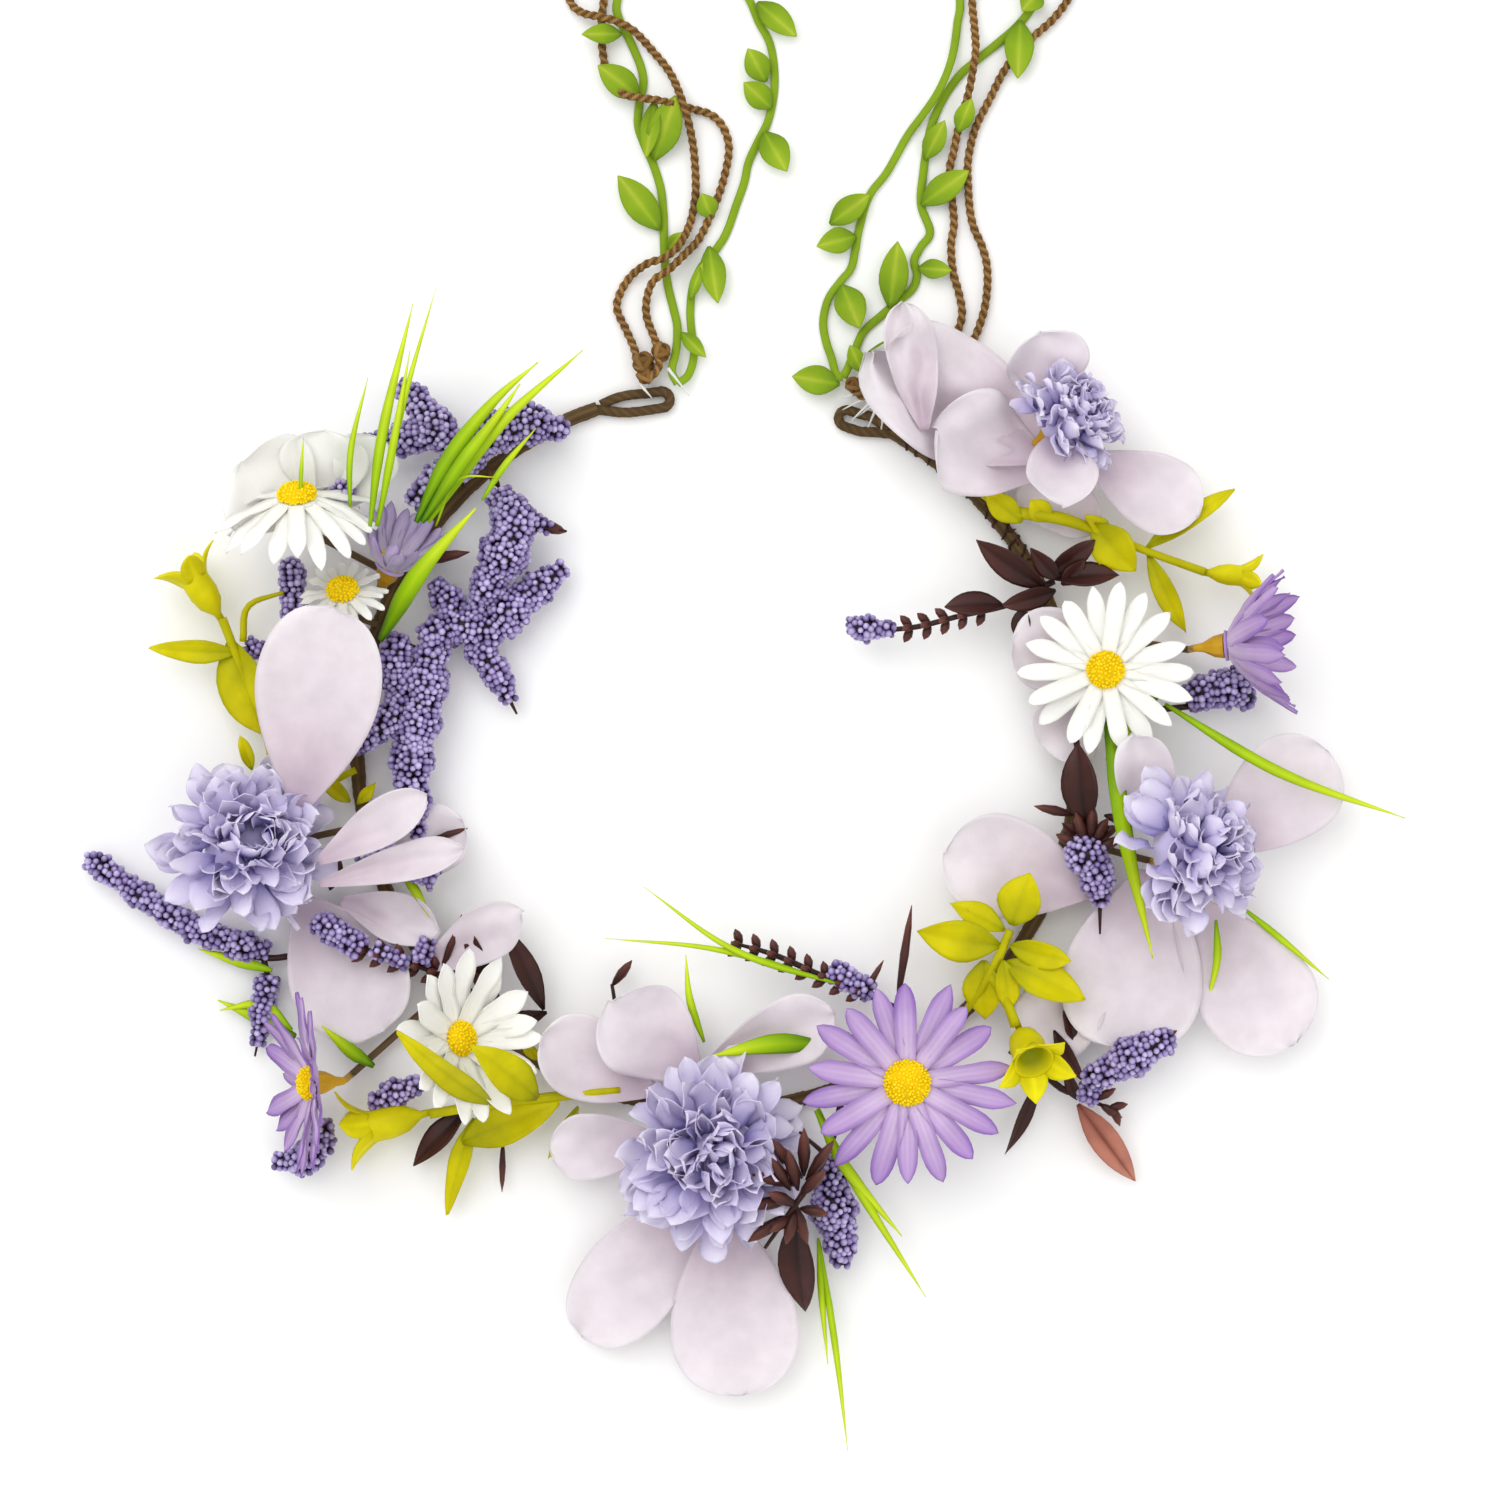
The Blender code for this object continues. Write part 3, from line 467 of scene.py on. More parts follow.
def ring_faces(rows: int, sides: int) -> Faces:
    """The faces of a closed sleeve, with a flat cap on each end.

    Args:
        rows: How many rings of corners it has.
        sides: How many corners a ring has.

    Returns:
        The faces, as indices of the corners.
    """
    faces: Faces = []
    for r in range(rows - 1):
        for s in range(sides):
            t = (s + 1) % sides
            faces.append((r * sides + s, r * sides + t, (r + 1) * sides + t, (r + 1) * sides + s))
    faces.append(tuple(range(sides))[::-1])
    faces.append(tuple((rows - 1) * sides + s for s in range(sides)))
    return faces


def smooth_path(points: Iterable[Point], spacing: float) -> np.ndarray:
    """Points every spacing along a smooth curve through the given ones.

    Args:
        points: The route's own points, with any further values to carry along.
        spacing: The distance between the points wanted.

    Returns:
        The path, one row a point.
    """
    given = np.array([tuple(p) for p in points], float)
    padded = np.vstack([2 * given[0] - given[1], given, 2 * given[-1] - given[-2]])
    a, b, c, d = padded[:-3], padded[1:-2], padded[2:-1], padded[3:]
    steps = np.linspace(0, 1, CURVE_STEPS + 1)[:-1]
    fine = [
        0.5 * (2 * b + (c - a) * t + (2 * a - 5 * b + 4 * c - d) * t**2 + (3 * b - a - 3 * c + d) * t**3)
        for t in steps
    ]
    line = np.vstack([np.stack(fine, axis=1).reshape(-1, given.shape[1]), given[-1:]])
    run = np.concatenate([[0.0], np.cumsum(np.linalg.norm(np.diff(line[:, :3], axis=0), axis=1))])
    count = max(2, round(run[-1] / spacing))
    at = np.linspace(0, run[-1], count + 1)
    return np.stack([np.interp(at, run, line[:, i]) for i in range(line.shape[1])], axis=1)


def path_length(path: np.ndarray) -> float:
    """The length of a path, in its own unit."""
    return float(np.linalg.norm(np.diff(path[:, :3], axis=0), axis=1).sum())


def path_frames(path: np.ndarray) -> tuple[np.ndarray, np.ndarray, np.ndarray]:
    """For each point of a path, its direction and two crosswise directions that don't spin.

    Args:
        path: The points.

    Returns:
        Directions along, across and upwards.
    """
    along = np.gradient(path[:, :3], axis=0)
    along /= np.linalg.norm(along, axis=1)[:, None]
    across = np.zeros_like(along)
    start = np.cross(along[0], (0, 0, 1.0))
    if np.linalg.norm(start) < 1e-3:
        start = np.array((1.0, 0, 0))
    side = start / np.linalg.norm(start)
    for i, way in enumerate(along):
        side = side - way * np.dot(side, way)
        side /= np.linalg.norm(side)
        across[i] = side
    return along, across, np.cross(across, along)


def sweep(
    path: np.ndarray,
    wide: np.ndarray | float | Callable[[np.ndarray, np.ndarray], np.ndarray],
    high: np.ndarray | float | None = None,
    sides: int = 10,
) -> tuple[np.ndarray, Faces]:
    """A round or flat bar along a path.

    Args:
        path: The centreline.
        wide: Half its width point by point, or a radius worked out from (run, angle).
        high: Half its height; the width if left out.
        sides: How many sides it has.

    Returns:
        The corners and the faces of a closed shell.
    """
    _, across, up = path_frames(path)
    angles = np.arange(sides) * 2 * math.pi / sides
    run = np.concatenate([[0.0], np.cumsum(np.linalg.norm(np.diff(path[:, :3], axis=0), axis=1))])
    if callable(wide):
        radius = wide(run[:, None], angles[None, :])
        half_w = half_h = radius
    else:
        half_w, half_h = (
            np.broadcast_to(np.asarray(half, float), (len(path),))[:, None] * np.ones(sides)
            for half in (wide, wide if high is None else high)
        )
    sideways = across[:, None, :] * (half_w * np.cos(angles))[:, :, None]
    upwards = up[:, None, :] * (half_h * np.sin(angles))[:, :, None]
    corners = (path[:, None, :3] + (sideways + upwards)).reshape(-1, 3)
    return corners, ring_faces(len(path), sides)


@dataclass(frozen=True)
class Petal:
    """A thin petal, leaf or blade that grows along +X from its base and looks up.

    Attributes:
        length: Its length.
        width: Its greatest width.
        base: Its width at the base, as a share.
        widest: Where along it is widest, as a share.
        tip: 0.5 for a round tip, 1 and more for a pointed one.
        cup: How far its edges stand up, as a share of its width.
        start: The way it sets out, in degrees up from +X.
        bend: How far it turns upwards over its length, in degrees.
        ridges: How many pressed ridges run along it.
        ridge_depth: Their depth.
        ruffle: How far its edges wave.
        waves: How many waves an edge has.
        offset: How far out from the axis its base stands.
        thickness: Its thickness.
        rows: Divisions along.
        cols: Divisions across.
        edge_tone: Tone of the edges against the middle.
        rib: How deep the midrib is pressed in.
        rib_tone: Tone of the midrib against the rest.
        painted_groove_shade: How much darker the valleys between its ridges are painted, as painted shade in
            the creases.
        phase: Where its waves and folds begin, in radians.
        fold: How high the soft folds that cross it slantwise stand.
    """

    length: float
    width: float
    base: float = 0.3
    widest: float = 0.6
    tip: float = 0.5
    cup: float = 0.0
    start: float = 0.0
    bend: float = 0.0
    ridges: int = 0
    ridge_depth: float = 0.0
    ruffle: float = 0.0
    waves: float = 2.0
    offset: float = 0.0
    thickness: float = 0.3
    rows: int = 9
    cols: int = 6
    tones: tuple[float, float, float] = (0.25, 0.6, 0.9)
    edge_tone: float = 0.0
    rib: float = 0.0
    rib_tone: float = 0.3
    painted_groove_shade: float = 0.0
    phase: float = 0.0
    fold: float = 0.0

    def breadth(self, t: np.ndarray) -> np.ndarray:
        """Its width as a share of the greatest.

        Args:
            t: Shares of its length.

        Returns:
            The width at each of them.
        """
        rise = self.base + (1 - self.base) * np.sin(math.pi / 2 * np.clip(t / self.widest, 0, 1))
        fall = (1 - np.clip((t - self.widest) / (1 - self.widest), 0, 1) ** 2) ** self.tip
        return np.maximum(np.where(t < self.widest, rise, fall), 0.04)

    def surface(self) -> Grid:
        """Its upper side.

        Returns:
            The corners, as rows by columns by 3, and a tone for each corner.
        """
        t = 1 - (1 - np.linspace(0, 1, self.rows + 1)) ** 1.25
        s = np.linspace(-1, 1, self.cols + 1)
        angle = np.radians(self.start + self.bend * t)
        step = np.diff(t, prepend=0.0) * self.length
        x = self.offset + np.cumsum(np.cos(angle) * step)
        z = np.cumsum(np.sin(angle) * step)
        w = self.breadth(t) * self.width / 2
        lift = self.cup * self.width * (w / (self.width / 2))[:, None] * s[None, :] ** 2
        envelope = np.sin(math.pi * np.clip(t, 0.03, 0.97))[:, None]
        if self.ridges:
            lift = lift + self.ridge_depth * np.cos(self.ridges * math.pi * s)[None, :] * envelope
        if self.rib:
            lift = lift - self.rib * np.exp(-((s / 0.16) ** 2))[None, :] * envelope
        wave = np.sin(2 * math.pi * self.waves * t[:, None] + self.phase + 1.4 * np.sign(s)[None, :])
        lift = lift + self.ruffle * wave * np.abs(s[None, :]) ** 1.6 * np.clip(t * 2, 0, 1)[:, None]
        if self.fold:
            slant = 2 * math.pi * (0.9 * t[:, None] + 0.75 * s[None, :]) + 2.3 * self.phase
            ripple = 2 * math.pi * (1.9 * t[:, None] - 0.9 * s[None, :]) + self.phase
            lift = lift + self.fold * (np.sin(slant) + 0.35 * np.sin(ripple)) * np.clip(t * 2.5, 0, 1)[:, None]
        top = np.zeros((self.rows + 1, self.cols + 1, 3))
        top[..., 0] = x[:, None] - np.sin(angle)[:, None] * lift
        top[..., 1] = w[:, None] * s[None, :]
        top[..., 2] = z[:, None] + np.cos(angle)[:, None] * lift
        tone = np.interp(t, (0, 0.5, 1), self.tones)[:, None] + self.edge_tone * np.abs(s[None, :]) ** 2
        if self.rib:
            tone = tone + self.rib_tone * np.exp(-((s / 0.2) ** 2))[None, :]
        # Painted shade in the valleys between the ridges.
        if self.painted_groove_shade:
            tone = tone + self.painted_groove_shade * (np.cos(self.ridges * math.pi * s)[None, :] - 1) * envelope
        return top, tone

    def shell(self) -> tuple[np.ndarray, Faces, np.ndarray]:
        """The petal as a closed shell.

        Returns:
            Its corners, faces and tones.
        """
        top, tone = self.surface()
        low = top.copy()
        angle = np.radians(self.start + self.bend * (1 - (1 - np.linspace(0, 1, self.rows + 1)) ** 1.25))
        low[..., 0] += np.sin(angle)[:, None] * self.thickness
        low[..., 2] -= np.cos(angle)[:, None] * self.thickness
        rows, cols = self.rows + 1, self.cols + 1
        size = rows * cols
        faces: Faces = []
        for r in range(rows - 1):
            for c in range(cols - 1):
                q = (r * cols + c, (r + 1) * cols + c, (r + 1) * cols + c + 1, r * cols + c + 1)
                faces.append(q)
                faces.append(tuple(size + i for i in q[::-1]))
        rim = [r * cols for r in range(rows)] + [size - cols + c for c in range(1, cols)]
        rim += [r * cols + cols - 1 for r in range(rows - 2, -1, -1)] + list(range(cols - 2, 0, -1))
        for a, b in zip(rim, rim[1:] + rim[:1]):
            faces.append((b, a, size + a, size + b))
        points = np.vstack([top.reshape(-1, 3), low.reshape(-1, 3)])
        return points, faces, np.concatenate([tone.ravel(), tone.ravel()])

    def onto(self, parts: MeshParts, matrix: Matrix) -> None:
        """Adds the petal to a mesh.

        Args:
            parts: The mesh.
            matrix: Where it stands, in millimetres.
        """
        points, faces, tones = self.shell()
        parts.add(moved(points, matrix), faces, tones)

    def area(self) -> float:
        """The petal's flat area, in square millimetres."""
        t = np.linspace(0, 1, 60)
        return float(np.trapz(self.breadth(t), t) * self.length * self.width)


# --------------------------------------------------------------------------------------------------
# Places, in millimetres in the crown's frame
# --------------------------------------------------------------------------------------------------

COIL_CENTRES = {"left": (-22.0, 275.0), "right": (73.0, 275.0)}

# Each daisy's petal length, cup angle and button radius, and where it isn't an even one, how far its cup leans
# to one side, how unruly its petals are and how broad
DAISIES = {
    "white_daisy_upper_left": (25.0, -28.0, 5.2),
    "white_daisy_left": (12.5, -10.0, 4.2),
    "white_daisy_low_left": (25.0, 18.0, 4.6, 6.0, 5.0, 1.25),
    "white_daisy_upper_right": (24.5, -8.0, 5.0),
    "lilac_daisy_upper_left": (19.0, 54.0, 3.8),
    "lilac_daisy_low_left": (26.0, 14.0, 4.4),
    "lilac_daisy_bottom": (29.5, 4.0, 6.2),
    "lilac_daisy_right": (27.0, 42.0, 3.8),
}

# Each pompon's base, its tilt from upright, the heading of its face and its radius
POMPONS = {
    "pompon_left": ((-136.0, 6.0, 15.5), 20.0, 37.0, 26.0),
    "pompon_bottom": ((-10.0, -77.0, 15.0), 12.0, 30.0, 28.0),
    "pompon_right": ((116.0, 4.0, 24.5), 42.0, 20.0, 24.0),
    "pompon_top_right": ((84.0, 119.5, 19.5), 52.0, 35.0, 18.5),
}

# Knots at the eyelets, as (middle, heading, radius)
KNOTS = {
    "jute_left_a": (
        ((-27.8, 138.6, 3.6), 60.0, 3.1), ((-23.0, 141.6, 3.6), 20.0, 2.7), ((-27.3, 135.0, 4.2), 100.0, 2.4),
    ),
    "jute_right_a": (((29.8, 132.4, 4.4), 120.0, 2.3),),
}

# Each strand of the ties: its side, its place round the coil in degrees, its layer in the coil, the way it
# winds (1 counter-clockwise) and its route from the fold at the eyelet
STRANDS = {
    "jute_left_a": (
        "left", 200.0, 0, -1,
        (
            (-26.6, 134, 5), (-29.3, 137.5, 4.8), (-30.3, 142.4, 3), (-32.7, 148, 1.6), (-35.1, 153.5, 1.5),
            (-34.3, 157.9, 1.5), (-31.3, 162.6, 1.5), (-26.6, 165.7, 4.6), (-22.2, 167.1, 5.2),
            (-18.1, 170.6, 4.8), (-15.4, 176.3, 1.6), (-14, 181.8, 1.5), (-13.5, 188.4, 1.5),
            (-14.3, 198.9, 2.6), (-16.6, 208.4, 4.9), (-20.3, 217.8, 2.6), (-25.3, 224.4, 1.5),
            (-30.2, 229.2, 4.4), (-34.8, 231.7, 5.2), (-39.4, 233.1, 5), (-43.9, 234.3, 3.4), (-47.4, 237, 1.5),
            (-48.6, 241.6, 1.5), (-47.2, 246.6, 1.5), (-44.9, 252, 1.5),
        ),
    ),
    "jute_left_b": (
        "left", 226.0, 1, -1,
        (
            (-26.6, 134, 5), (-23.7, 137.1, 4.8), (-24.3, 143.8, 3), (-26.9, 151.1, 1.6), (-26.9, 156.4, 2.2),
            (-25, 160.9, 4.8), (-21.2, 163.6, 5.2), (-17.3, 167.4, 4.4), (-12.8, 172.6, 1.5),
            (-9.8, 178.5, 1.5), (-8.3, 182, 1.5), (-6.2, 188, 1.5), (-4.6, 195, 1.5), (-4.6, 199.7, 1.5),
            (-6.3, 204, 1.5), (-9.3, 206.9, 1.5), (-14.3, 208.5, 1.5), (-23.6, 210.3, 4.8), (-29, 210.9, 5.2),
            (-33.7, 212.2, 4.6), (-36.6, 215.2, 1.6), (-38.4, 220.3, 1.5), (-39.3, 226.8, 1.5),
            (-39.3, 233.7, 1.5), (-38.6, 240, 1.5), (-38.4, 250.5, 1.5),
        ),
    ),
    "jute_right_a": (
        "right", 238.0, 1, -1,
        (
            (29.9, 130.6, 4.9), (31.4, 133.8, 4.6), (36.8, 136.5, 3), (45, 138.3, 1.5), (53, 141.7, 1.5),
            (57.7, 146.4, 1.5), (59.6, 151.9, 1.5), (58.8, 157.7, 1.5), (57.1, 164.1, 1.5), (56.6, 171.5, 1.5),
            (57.4, 177.7, 1.5), (56.2, 190.9, 1.5), (57.3, 196.7, 1.5), (58.9, 204.3, 1.6), (61.3, 212.6, 3.6),
            (62.4, 218.8, 4.9), (63.2, 224.3, 4.4), (62.9, 231.7, 2.2), (62.4, 238.6, 1.5), (63.2, 250, 1.5),
        ),
    ),
    "jute_right_b": (
        "right", 326.0, 2, 1,
        (
            (29.9, 130.6, 4.9), (33.1, 129.2, 4.6), (38.1, 131.4, 3), (45.9, 134.2, 1.5), (54.9, 138, 1.5),
            (61.7, 143.5, 1.5), (65, 150.8, 1.5), (66.4, 157.7, 1.5), (66.5, 165.1, 1.5), (65.1, 170.8, 1.5),
            (62.9, 175.8, 1.5), (61.8, 180.7, 1.5), (61.3, 187.6, 1.5), (61.3, 194.5, 1.5), (63.2, 203, 1.5),
            (67.2, 211.2, 1.5), (71.7, 219.8, 1.5), (78, 227.2, 1.5), (85, 233.6, 1.5), (89.6, 240.6, 1.5),
            (92.5, 251, 1.5),
        ),
    ),
    "leaf_left_a": (
        "left", 250.0, 2, -1,
        (
            (-18.4, 132.8, 5), (-20, 136.4, 4.9), (-18.9, 142.1, 3.4), (-18.6, 148.8, 1.8), (-19.8, 154.4, 1.6),
            (-21.1, 159.8, 1.6), (-22, 166.2, 1.6), (-22.3, 173.8, 1.6), (-22.4, 179.3, 1.6),
            (-23.1, 186.6, 1.6), (-25.3, 193.7, 1.6), (-27.5, 198.5, 1.6), (-29.4, 204.3, 1.6),
            (-28.9, 210.9, 1.6), (-27.9, 215.4, 1.6), (-28.6, 220.2, 1.6), (-31.6, 227.4, 1.6),
            (-34.9, 234.3, 1.6), (-35.1, 238.4, 1.6), (-33, 246.5, 1.6),
        ),
    ),
    "leaf_left_b": (
        "left", 300.0, 3, 1,
        (
            (-18.4, 132.8, 5), (-15.4, 135.5, 3.8), (-13.9, 141.7, 1.8), (-14.7, 147.8, 1.6), (-15, 153.5, 1.6),
            (-14.3, 159.8, 1.6), (-12.2, 164.8, 1.6), (-8.8, 168.9, 1.6), (-5.9, 173, 1.6), (-4.2, 176.8, 1.6),
            (-2.4, 182.1, 1.6), (-0.2, 188.4, 1.6), (1, 193.9, 1.6), (3.6, 199.7, 1.6), (6.4, 205.4, 1.6),
            (8, 213.1, 1.6), (8, 220.6, 1.6), (6.7, 227.1, 1.6), (3.8, 232.5, 1.6), (0.8, 239.4, 1.6),
            (-5.6, 249, 1.6),
        ),
    ),
    "leaf_right_a": (
        "right", 214.0, 0, -1,
        (
            (26.9, 134.6, 5), (25, 135.4, 4.9), (23.9, 139.6, 3.2), (22.2, 145, 1.7), (21.5, 150.3, 1.6),
            (22.9, 156.4, 1.6), (26.2, 161.2, 1.6), (29.1, 164.8, 1.6), (30.3, 169.8, 1.6), (31.4, 175.8, 1.6),
            (34.2, 184.8, 1.6), (39.1, 191.4, 1.6), (44.6, 201.2, 1.6), (48.8, 206.8, 2.8), (52.6, 212.2, 4.9),
            (55.6, 218.6, 4.9), (57.4, 225.2, 2.8), (58.4, 232.3, 1.6), (59.1, 238.4, 1.6), (57.6, 252, 1.6),
        ),
    ),
    "leaf_right_b": (
        "right", 298.0, 3, 1,
        (
            (26.9, 134.6, 5), (28.4, 137.6, 4.4), (30.2, 142.2, 2.2), (32.6, 147.4, 1.6), (37.4, 151.8, 1.6),
            (42, 155.8, 1.6), (46, 159.2, 1.6), (47.3, 163.2, 1.6), (46.5, 167, 1.6), (48.4, 170.8, 1.6),
            (50.9, 174.9, 1.6), (48.4, 182.4, 1.6), (49, 190.9, 1.6), (50.9, 202.8, 1.6), (54.5, 211.5, 1.6),
            (59.2, 218.1, 1.6), (63.2, 221.6, 1.6), (69.3, 226.6, 1.6), (75.1, 231.8, 1.6), (79.8, 238.4, 1.6),
            (82.6, 249.6, 1.6),
        ),
    ),
}

# Each spray's lobes of beads, as runs of (x, y, z, radius)
BEAD_LOBES = {
    "upper_left": (
        (
            (-75.9, 108.6, 11, 3.5), (-74.6, 113.3, 13, 5), (-66.4, 119.2, 14, 6), (-58.3, 120.9, 13, 5.8),
            (-48.7, 119.5, 11, 2.5),
        ),
        ((-75.8, 110.7, 12, 4.5), (-82.8, 118.8, 13, 5.5), (-88.3, 126.2, 12, 4.5), (-93.8, 131.7, 11, 2)),
        ((-82.8, 118.8, 13, 5), (-92.4, 117.2, 12, 4.6), (-103.2, 116, 10, 2)),
        ((-75.8, 110.7, 12, 4.5), (-85, 104.7, 12, 4.2), (-90.5, 99.8, 12, 2.5)),
        ((-67.1, 102, 12, 4), (-62.6, 93.7, 14, 6.6), (-67, 82.4, 13, 6.6), (-73.1, 72.2, 11, 2.5)),
        ((-63.7, 97, 14, 4.5), (-53.5, 92.7, 13, 1.8)),
        ((-106.7, 103.5, 22, 2.6), (-110.8, 99.7, 22, 2.4)),
    ),
    "inner_left": (
        (
            (-86.8, 62.3, 13, 4), (-78.9, 66.2, 11, 5.2), (-69.4, 65.7, 10, 6), (-60.8, 73.3, 9, 5.6),
            (-49.4, 82.1, 8, 2.5),
        ),
        ((-77, 62.4, 10, 4.6), (-80.4, 71.7, 9, 4.6), (-84.2, 78, 9, 2.4)),
        ((-72.8, 61.1, 9, 4.8), (-68.2, 53.7, 8, 4), (-64.2, 46.1, 6, 2)),
        (
            (-85, 59.6, 12, 5.4), (-87.2, 46, 12, 6.2), (-90.2, 33.8, 12, 6.4), (-90.6, 18.8, 10, 4.8),
            (-89.3, 9.5, 7, 2),
        ),
        ((-92.5, 46, 13, 4.2), (-99.5, 37.9, 14, 4), (-109.1, 32.5, 15, 2)),
        ((-94.3, 63.4, 12, 4), (-94.8, 52.6, 12, 4.6), (-93.2, 46, 12, 3)),
        ((-123.3, 83.5, 12, 2.8), (-122.8, 75.9, 12, 3.8), (-122.8, 66.7, 12, 2.4)),
        ((-135.4, 61.1, 9, 2), (-128.9, 58.1, 9, 3)),
        ((-104, 0.4, 12, 2.6), (-95.1, 2.6, 12, 4.6), (-84.6, -2.9, 11, 2.6)),
    ),
    "far_left": (
        (
            (-179.6, 2.4, 6, 2.2), (-172.9, -1.4, 6.5, 3.6), (-169, -4.1, 7, 2.4), (-164.7, -7.4, 7, 4.4),
            (-159.7, -10.1, 7, 2.8), (-155.4, -13.4, 7, 4.2), (-146.2, -18.9, 6, 2.6),
        ),
        ((-147.6, -17.3, 6, 3), (-139.1, -20.6, 6, 4), (-130.9, -22.2, 6, 2.6)),
        ((-130.5, -29.9, 5, 2.6), (-131.6, -36, 5, 3.6), (-133.7, -48.1, 4, 1.6)),
    ),
    "low_left": (
        ((-116.8, -13.6, 14, 2.2), (-110.9, -16.9, 14, 4.2), (-104.5, -21.3, 13, 3)),
        ((-88.3, -24.6, 12, 2.4), (-86.1, -19.2, 12, 2.6)),
        ((-100.5, -21.2, 15, 1.6), (-95.6, -23.6, 15, 1.9), (-91.9, -25.6, 14, 1.3)),
        ((-127.9, -79.4, 8, 2), (-121.4, -79.4, 8, 4.2), (-115.4, -74.5, 8, 4.4), (-116.5, -69, 8, 2.6)),
        ((-101.6, -63.5, 9, 2.4), (-95.4, -61.3, 9, 3.6), (-88.6, -58, 9, 2.4)),
    ),
    "bottom": (
        ((22.1, -79.4, 8, 3), (23.7, -89.1, 9, 6.4), (25.4, -98.9, 9, 5.8), (26.5, -107.8, 8, 2)),
        ((23.6, -27.3, 13, 2.4), (28.5, -30, 13, 3.8), (34, -33.3, 12, 2.4)),
    ),
    "right": (
        ((88.1, 5.3, 14, 3.4), (93.5, 3.2, 15, 6.4), (95.7, -2.8, 14, 4.6), (96.6, -8.8, 13, 1.8)),
        ((121.3, 46.1, 9, 3.4), (126.7, 48.8, 9, 6), (133.8, 48.8, 9, 5.4), (137.6, 45, 9, 2.6)),
    ),
    "low_right": (
        ((93.4, -57.9, 10, 2.4), (101.4, -52.9, 12, 5.2), (109.3, -48.4, 14, 5.4), (115.8, -45.6, 14, 2.2)),
        ((91.4, -60.3, 8, 2.2), (95.8, -62.5, 8, 2.4)),
    ),
    "upper_right": (
        ((28.3, 66.1, 12, 2), (33.4, 65.6, 12, 3.4), (40, 65.1, 12, 2)),
    ),
}

# Each spray's burgundy twigs, as runs of (x, y, z, radius)
TWIGS = {
    "upper_left": (
        ((-77.1, 104.9, 9, 1), (-75.8, 110.7, 12, 1), (-66.5, 119.3, 13, 0.8)),
        ((-53.5, 92.7, 13, 0.8), (-48.3, 91.9, 13, 0.3)),
    ),
    "inner_left": (
        ((-95.9, 62.3, 12, 1), (-86.9, 59.1, 12, 1)),
        ((-64.8, 47.2, 6, 0.7), (-62.3, 42.3, 6, 0.3)),
        ((-89.3, 10.1, 7, 0.7), (-87.6, 6.2, 7, 0.3)),
    ),
    "far_left": (
        ((-102, -9.9, 5.5, 1), (-116.2, -20.9, 5.5, 1), (-131.5, -24.4, 6, 0.9), (-146.2, -18.9, 6, 0.8)),
        ((-131.5, -24.4, 6, 0.9), (-130.5, -33.2, 5, 0.8), (-134.2, -51.4, 4, 0.3)),
    ),
    "low_left": (
        (
            (-65.6, -46.8, 6, 1), (-72.3, -35.7, 8, 1), (-82.5, -28.8, 9.5, 0.9), (-93.7, -24.6, 12, 0.9),
            (-104.5, -21.3, 13, 0.8),
        ),
    ),
    "bottom": (
        (
            (42.2, -38.3, 11, 1), (33.4, -34.1, 12, 0.9), (20.4, -28.6, 13, 0.9), (8.2, -23.2, 13, 0.8),
            (-3.8, -19.7, 13, 0.4),
        ),
        ((26.5, -63.1, 7, 1), (23.6, -73.1, 16, 1), (17.9, -82.5, 28, 1), (5.4, -101.2, 24, 0.5)),
        ((21.9, -76.7, 20, 0.8), (14.7, -69.6, 29, 0.4)),
        ((-28.7, -62.2, 5, 0.8), (-33.6, -46.9, 5.5, 0.7), (-36.4, -31.5, 5.5, 0.5)),
    ),
    "right": (
        ((90.1, 35.2, 10, 1), (92, 21.6, 13, 0.9), (93.6, 5.3, 14, 0.8)),
        ((96.4, -10.4, 13, 0.6), (96.5, -17.5, 12, 0.3)),
        ((104.9, 42.8, 9, 1), (121.3, 44.4, 9, 0.9)),
    ),
    "low_right": (
        ((72.5, -49.6, 5.2, 1), (80.7, -55.1, 5.2, 1), (89.3, -60.9, 7, 1), (99.3, -54.6, 11, 0.8)),
        ((89.3, -60.9, 7, 0.8), (101.8, -66.3, 8, 0.4)),
        ((89.3, -60.9, 7, 0.8), (86.4, -49.3, 9, 0.4)),
    ),
    "upper_right": (
        (
            (84.2, 78.5, 9, 1), (72.1, 72.2, 11, 0.9), (58.4, 68.9, 12, 0.8), (47.6, 66.1, 12, 0.8),
            (39.4, 65.1, 12, 0.7),
        ),
    ),
}

# Which of a spray's twigs carries leaf stubs: its number, the share where they start, and their length
TWIG_STUBS = {
    "low_left": (0, 0.45, 5.2),
    "bottom": (0, 0.25, 4.8),
    "upper_right": (0, 0.45, 4.6),
}

